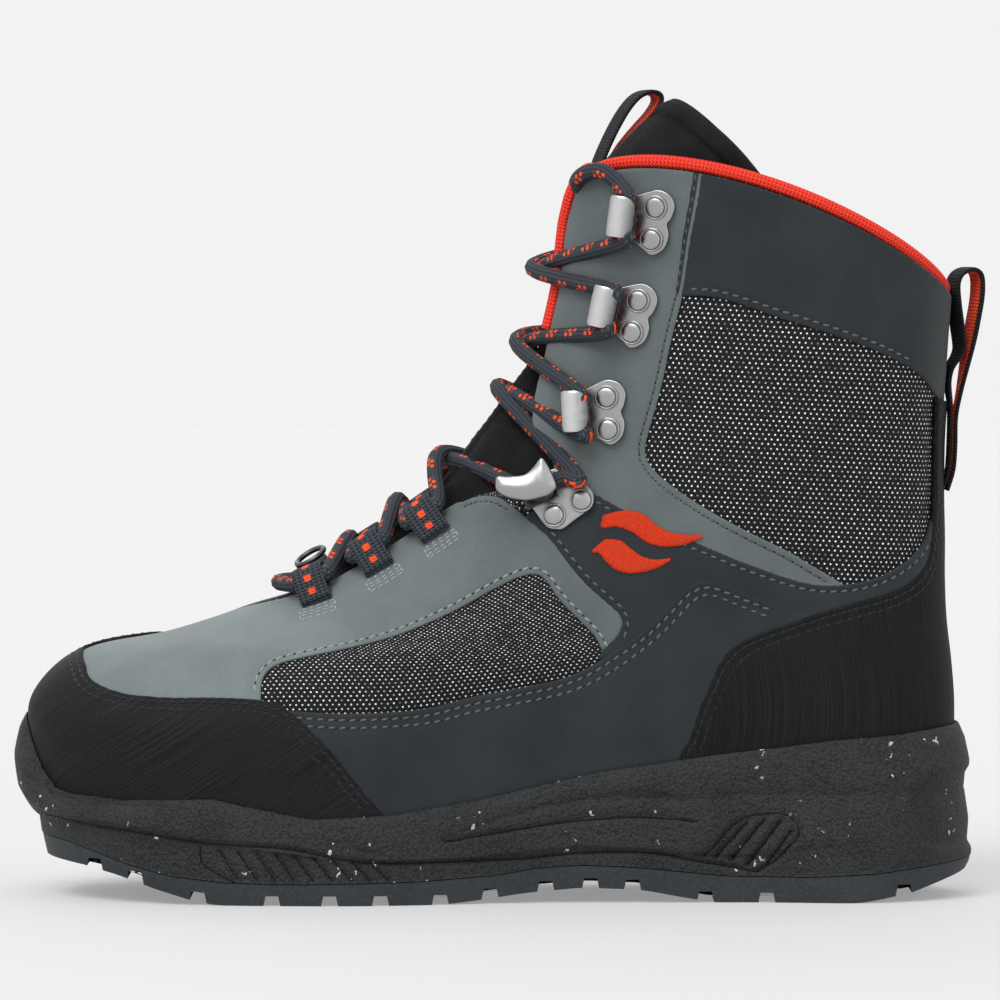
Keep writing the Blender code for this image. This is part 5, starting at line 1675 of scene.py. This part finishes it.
def build_tongue():
    """The padded tongue with rounded edges."""
    across = np.sin(np.linspace(-1, 1, 101) * np.pi / 2)
    across, level = np.meshgrid(across, np.linspace(*TONGUE_LEVELS, 161))
    skin = tongue_point(across, level, 0 * across)
    from_side = np.minimum(*[np.linalg.norm(skin - skin[:, [k]], axis=2) for k in (0, -1)])
    from_end = np.minimum(*[np.linalg.norm(skin - skin[[k]], axis=2) for k in (0, -1)])
    gap = np.minimum(from_side, from_end) / (TONGUE_THICKNESS / 2)
    thin = TONGUE_THICKNESS / 2 * (1 - rounded(gap)) * 0.96
    # A stitched line follows the top edge and leaves a padded roll beyond it
    roll = np.exp(-(((from_end - TONGUE_ROLL) / TONGUE_SEAM_REACH) ** 2)) * (level > TOP)
    depth = thin + TONGUE_SEAM_DEPTH * roll
    uv = np.stack([run_over(skin, 1), level * LEVEL_SIZE], -1).reshape(-1, 2)
    points, faces = tongue_sheet(across, level, depth, TONGUE_THICKNESS - depth)
    add_piece("tongue_pad", points, faces, "tongue", np.vstack([uv, uv]), ("tongue",))


def build_tongue_band():
    """The ribbed band down the tongue's middle."""
    across, level = np.meshgrid(np.linspace(-1, 1, 13), np.linspace(*RIBBED_LEVELS, 240))
    step = 0.02
    beside = tongue_point(step + 0 * level, level, 0 * level) - tongue_point(0 * level, level, 0 * level)
    reach = np.linalg.norm(beside, axis=2) / step
    from_side = 1 - np.abs(across)
    ribs = np.sin(level * LEVEL_SIZE / RIB_PITCH * 2 * np.pi) * (from_side > 0.2)
    raised = RIBBED_HEIGHT * rounded(from_side * 5) + RIB_HEIGHT * ribs
    place_across = across * RIBBED_WIDTH / 2
    points, faces = tongue_sheet(place_across / reach, level, -raised, RIBBED_FOOT + 0 * across)
    uv = np.stack([place_across, level * LEVEL_SIZE], -1).reshape(-1, 2)
    add_piece("tongue_band", points, faces, "ribbed", np.vstack([uv, uv]))


def tube(path, radius, sides, closed=False, ribs=0, rib_depth=0.0):
    """Points, faces and cloth places of a round cord, ribbed along its length if ribs are given."""
    if closed:
        ahead = unit(np.roll(path, -1, axis=0) - np.roll(path, 1, axis=0))
    else:
        ahead = unit(np.gradient(path, axis=0))
    normal = np.cross(ahead[0], (0.3, 0.2, 1.0))
    angle = np.arange(sides) / sides * 2 * np.pi
    reach = radius * (1 - rib_depth * (0.5 - 0.5 * np.cos(ribs * angle)))
    points = []
    for centre, direction in zip(path, ahead):
        normal = unit(normal - direction * np.dot(normal, direction))
        side = np.cross(direction, normal)
        ring = np.outer(np.cos(angle) * reach, normal) + np.outer(np.sin(angle) * reach, side)
        points.append(centre + ring)
    if closed:
        last = (len(path) - 1) * sides
        faces = grid_faces(len(path), sides, closed=True)
        faces += [(last + k, last + (k + 1) % sides, (k + 1) % sides, k) for k in range(sides)]
    else:
        faces = rod_faces(len(path), sides)
    uv = np.stack(np.meshgrid(run_along(path), np.arange(sides) / sides, indexing="ij"), -1).reshape(-1, 2)
    return np.concatenate(points), faces, uv


def build_piping():
    """The round knitted binding up the throat's edge, round the collar and down the other side."""
    levels = np.append(np.linspace(PIPING_START, TOP - 0.25, 24), TOP)
    path = [edge_point(1, level) for level in levels]
    for turn in np.linspace(1, -1, 121)[2:-2] * throat_turn(TOP):
        _, up, out = last_axes(turn, TOP)
        path.append(last_point(turn, TOP) - out * wall_at(TOP) * PIPING_SINK + up * PIPING_RADIUS)
    path += [edge_point(-1, level) for level in levels[::-1]]
    smooth = resample(path, 5 * MM)
    points, faces, uv = tube(resample(catmull(smooth, 8), 0.8 * MM), PIPING_RADIUS, 20)
    add_piece("binding", points, faces, "knit", uv, ("collar_piping",))


def band(path, side, width, thickness):
    """Flat stock with rounded edges along a path: side holds the direction across it at each point."""
    path, side = np.asarray(path), np.broadcast_to(side, np.shape(path))
    normal = unit(np.cross(side, np.gradient(path, axis=0)))
    angle = np.linspace(0, 2 * np.pi, 24, endpoint=False)
    widths = np.broadcast_to(width, len(path))[:, None]
    flat = widths * np.sign(np.cos(angle)) * np.abs(np.cos(angle)) ** 0.35 / 2
    high = np.sign(np.sin(angle)) * np.abs(np.sin(angle)) ** 0.6 * thickness / 2
    rings = path[:, None] + side[:, None] * flat[..., None] + normal[:, None] * high[None, :, None]
    uv = np.stack(np.broadcast_arrays(run_along(path)[:, None], flat), -1).reshape(-1, 2)
    return rings.reshape(-1, 3), rod_faces(len(path), len(angle)), uv


def upright(line, across=0.0):
    """A line of (forwards, outwards) as points in space, to one side of the middle."""
    return np.stack([line[:, 0], across + 0 * line[:, 0], line[:, 1]], 1)


def build_pull_loops():
    """The folded pull loops on the tongue and at the back, dark outside and coloured inside."""
    pulls = (("tongue_pull", TONGUE_PULL, "tongue_loop"), ("heel_pull", HEEL_PULL, "heel_loop"))
    for name, line, node in pulls:
        path = resample(upright(catmull(np.array(line) * MM)), 1 * MM)
        turn = PULL_TURN * np.ones(len(path))
        if node == "heel_loop":
            turn = turn * ease((path[:, 2] / MM - PULL_TWIST[0]) / PULL_TWIST[1])
        side = np.stack([-np.sin(turn), np.cos(turn), 0 * turn], 1)
        points, faces, uv = band(path, side, PULL_WIDTH, WEBBING)
        add_piece(name, points, faces, "pull", uv, (node,))
        normal = unit(np.cross(side, np.gradient(path, axis=0)))
        middle = len(path) // 2
        inward = np.sign(np.sum(normal[middle] * (path.mean(axis=0) - path[middle])))
        lining = (path + normal * inward * WEBBING * 0.55)[2:-2]
        points, faces, uv = band(lining, side[2:-2], PULL_LINING, WEBBING * 0.4)
        add_piece(f"{name}_lining", points, faces, "red_band", uv)


def lacing_axes(level, turn, side):
    """Place and directions of a loop or hook; without a turn it sits at the throat's edge."""
    turn = side * (turn or throat_turn(level, -MM))
    return last_point(turn, level), throat_axes(turn, level)


def build_loops():
    """Folded webbing loops with a channel of marks, each held by a box of stitches."""
    box = Join()
    for number, (kind, level, turn) in enumerate(LACING, 1):
        if kind != "loop":
            continue
        for side, word in SIDES:
            origin, axes = lacing_axes(level, turn, side)
            path = resample(upright(catmull(np.array(LOOP_FOLD) * MM, 6)), 0.6 * MM)
            points, faces, uv = band(place(path, origin, axes), axes[1], LOOP_WIDTH, WEBBING)
            add_piece(f"loop_{number}_{word}", points, faces, "band", uv, (f"lace_loop_{number}_{word}",))
            add_box(box, level, side)
    box.build("loop_stitching", "thread_pale")


def add_box(join, level, side):
    """A box of stitches on the vamp behind a loop."""
    origin, axes = lacing_axes(level, None, side)
    corner = []
    for forward in LOOP_BOX:
        for up in (-LOOP_BOX_REACH, LOOP_BOX_REACH):
            corner.append(nearest_place(place((forward * MM, up * MM, 0), origin, axes), side, level))
    rows = [corner[k:k + 2] for k in range(0, len(corner), 2)]
    rows += [[corner[0], corner[-2]], [corner[1], corner[-1]]]
    for row in rows:
        add_stitches(join, np.array(row), HEIGHTS["vamp"] * MM - BOX_SINK, BOX_PITCH, BOX_LENGTH)


def nearest_place(point, side, level):
    """The (turn, level) of the last closest to a point near a level on one side."""
    turns = np.linspace(0.2, 0.5, 151) * side
    turns, levels = np.meshgrid(turns, np.linspace(level - 1.6, level + 1.6, 161))
    far = np.linalg.norm(last_point(turns, levels) - point, axis=2)
    i, j = np.unravel_index(np.argmin(far), far.shape)
    return turns[i, j], levels[i, j]


def pillow(outline, low, high, edge, crown):
    """Points and faces of a plate with rounded edges whose face swells by a crown towards its middle."""
    line = resample(catmull(np.vstack([outline, outline[:1]]) * MM), 0.5 * MM)[:-1]
    flat, faces = fill_flat(line, PLATE_RINGS, PLATE_SPACING)
    gap = distance_to(tree_of(line), flat)
    height = high - edge * (1 - rounded(gap / edge)) + crown * (1 - np.exp(-gap / (2.2 * MM)))
    return closed_sheet(np.column_stack([flat, height]), faces, np.column_stack([flat, 0 * gap + low]))


def dome(radius, height, sides=40):
    """Points and faces of a rivet head: a rim, a groove round it and a low crown."""
    angle = np.arange(sides) / sides * 2 * np.pi
    rows = [np.stack([np.cos(angle) * r * radius, np.sin(angle) * r * radius, 0 * angle + h * height], 1)
            for r, h in RIVET_PROFILE]
    return np.concatenate(rows), rod_faces(len(rows), sides)


def hook_width(path, width):
    """Width along a bent strip whose free end has rounded corners."""
    left = run_along(path[::-1])[::-1]
    return width - 2 * HOOK_CORNER * (1 - rounded(left / HOOK_CORNER)) * 0.9


def build_hooks():
    """Every hook of the lacing, on both sides."""
    for number, (kind, level, turn) in enumerate(LACING, 1):
        if kind == "loop":
            continue
        for side, word in SIDES:
            build_hook(kind, number, word, *lacing_axes(level, turn, side))


def build_hook(kind, number, word, origin, axes):
    """A riveted hook: a flat plate, a curl or a lip that holds the lace, and two rivets."""
    shape = HOOK_SHAPES[kind]
    join = Join()
    plates = [(shape["plate"], PLATE_BASE, PLATE_EDGE, 0)]
    if kind == "lock":
        plates.append((LOCK_LIP, LIP_BASE, LIP_EDGE, LIP_CROWN))
    for outline, base, edge, crown in plates:
        points, faces = pillow(np.array(outline), base, base + HOOK_METAL, edge, crown)
        join.add(place(points, origin, axes), faces)
    fold = resample(catmull(np.array(shape["bend"]) * MM), 0.35 * MM)
    path = upright(fold, shape["middle"] * MM)
    points, faces, uv = band(
        place(path, origin, axes), axes[1], hook_width(fold, shape["width"] * MM), HOOK_METAL)
    add_piece(f"curl_{number}_{word}", points, faces, "curl", uv)
    join.build(f"hook_{number}_{word}", "metal", (f"lace_hook_{number}_{word}",))
    for (forward, up), end in zip(shape["rivets"], ("upper", "lower")):
        points, faces = dome(RIVET_RADIUS, RIVET_HEIGHT)
        points = place(points + np.array([forward * MM, up * MM, PLATE_BASE + HOOK_METAL]), origin, axes)
        name = f"{number}_{end}_{word}"
        add_piece(f"stud_{name}", points, faces, "metal", nodes=(f"rivet_{name}",))


def lace_half(first, mirror):
    """Middle line of the lace from the bottom bar's middle to its hidden end beside the collar."""
    side = first
    path = [over_throat(LACE_BASE, BAR_LIFT)]
    for number, (kind, level, turn) in enumerate(LACING):
        origin, axes = lacing_axes(level, turn, side)
        forward, out, reach = LACE_HOLDS[kind]
        for share in (-1, -0.5, 0, 0.5, 1):
            bow = forward * (1 - 0.16 * share * share)
            path.append(place((bow * MM, share * reach * MM, out * MM), origin, axes))
        if number < len(CROSSINGS):
            height, lift = CROSSINGS[number]
            over = (number % 2 == 0) == mirror
            path.append(over_throat(height, lift if over else lift - CROSSING_DROP))
            side = -side
    for turn, level, lift in LACE_END:
        above = np.array([0, 0, max(level - TOP, 0) * LEVEL_SIZE])
        path.append(on_last(turn * side, min(level, TOP), lift * MM) + above)
    return np.array(path)


def over_throat(level, lift):
    """Point over the middle of the throat, MM off the last."""
    return on_last(0.5, level, lift * MM)


def build_lace():
    """One lace held by every loop and hook, in two halves that cross over the tongue."""
    halves = [lace_half(1, True), lace_half(-1, False)]
    path = np.vstack([halves[1][::-1], halves[0][1:]])
    smooth = resample(catmull(path, 10), 0.9 * MM)
    for _ in range(LACE_SMOOTHING):
        smooth[1:-1] = (smooth[:-2] + 2 * smooth[1:-1] + smooth[2:]) / 4
    points, faces, uv = tube(smooth, LACE_RADIUS, 36, ribs=9, rib_depth=0.07)
    nodes = ["lace_bar", "lace_top"] + [f"lace_cross_{i + 1}" for i in range(len(LACING) - 1)]
    add_piece("lace", points, faces, "lace", uv, nodes)


def build_ring():
    """The wire ring for a gaiter's hook, tipped back along the ridge."""
    centre = over_throat(RING_LEVEL, RING_LIFT)
    around, up, out = last_axes(np.array(0.5), RING_LEVEL)
    angle = np.linspace(0, 2 * np.pi, 64, endpoint=False)
    across = around * 0.97 + out * RING_TILT
    path = centre + RING_REACH * (np.outer(np.cos(angle), up) + np.outer(np.sin(angle), across))
    points, faces, uv = tube(path, RING_WIRE, 16, closed=True)
    add_piece("gaiter_ring", points, faces, "shade", uv, ("guard_ring",))


def build_floor():
    """A plain pale floor that runs on behind as a backdrop, well clear of the boot."""
    bpy.ops.mesh.primitive_plane_add(size=FLOOR_SIZE, location=(0, 0, 0))
    floor = bpy.context.object
    floor.name = "floor"
    f = Finish("floor_paper", 0.9, Emission_Strength=FLOOR_GLOW)
    f.colour(f.mix(f.noise(f.place(), 3.0), *FLOOR_COLOURS))
    f.set("Specular IOR Level", 0.1)
    floor.data.materials.append(f.material)
    floor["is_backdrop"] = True


def light_scene():
    """Broad soft lights all round, and a pale even sky."""
    world = bpy.data.worlds.new("studio")
    bpy.context.scene.world = world
    world.use_nodes = True
    sky = world.node_tree.nodes["Background"]
    sky.inputs[0].default_value = (*SKY[0], 1)
    sky.inputs[1].default_value = SKY[1]
    for name, toward, strength, softness in SUNS:
        sun = bpy.data.lights.new(name, "SUN")
        sun.energy, sun.angle = strength, math.radians(softness)
        obj = bpy.data.objects.new(name, sun)
        obj.rotation_euler = Vector(toward).to_track_quat("Z", "Y").to_euler()
        bpy.context.scene.collection.objects.link(obj)
        obj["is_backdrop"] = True


def aim_camera():
    """The photograph's viewing angle: level, from the outer side."""
    camera = bpy.data.cameras.new("photo_view")
    camera.lens = CAMERA_LENS
    camera.sensor_width = 36
    camera.clip_start = 0.05
    camera.clip_end = 20
    obj = bpy.data.objects.new("photo_view", camera)
    obj.location = CAMERA_PLACE
    obj.rotation_euler = (Vector(CAMERA_TARGET) - obj.location).to_track_quat("-Z", "Y").to_euler()
    bpy.context.scene.collection.objects.link(obj)
    bpy.context.scene.camera = obj


def corners():
    """The box round every piece as plain lists."""
    return [list(corner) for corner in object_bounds()]


def build_boot():
    """Every piece of the boot in the frame."""
    outlines = list(panel_outlines())
    stitched = {}
    for panel, _, _, path in stitch_rows():
        stitched.setdefault(panel, []).append(on_seam(path))
    build_shell([outline for *_, outline in outlines])
    for name, finish, nodes, outline in outlines:
        build_panel(name, finish, nodes, outline, stitched.get(name))
    build_stitching()
    build_midsole()
    build_outsole()
    build_insole()
    build_tongue()
    build_tongue_band()
    build_piping()
    build_pull_loops()
    build_loops()
    build_hooks()
    build_lace()
    build_ring()


def set_stage():
    """Floor, light and camera, with plain colours."""
    build_floor()
    light_scene()
    aim_camera()
    bpy.context.scene.view_settings.view_transform = "Standard"


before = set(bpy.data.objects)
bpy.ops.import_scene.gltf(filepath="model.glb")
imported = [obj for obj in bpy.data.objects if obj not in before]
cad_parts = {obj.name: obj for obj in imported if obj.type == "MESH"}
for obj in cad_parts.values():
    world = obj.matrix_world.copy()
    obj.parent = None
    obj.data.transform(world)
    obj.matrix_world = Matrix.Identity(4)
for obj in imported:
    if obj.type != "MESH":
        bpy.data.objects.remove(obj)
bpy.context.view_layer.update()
build_boot()
set_stage()
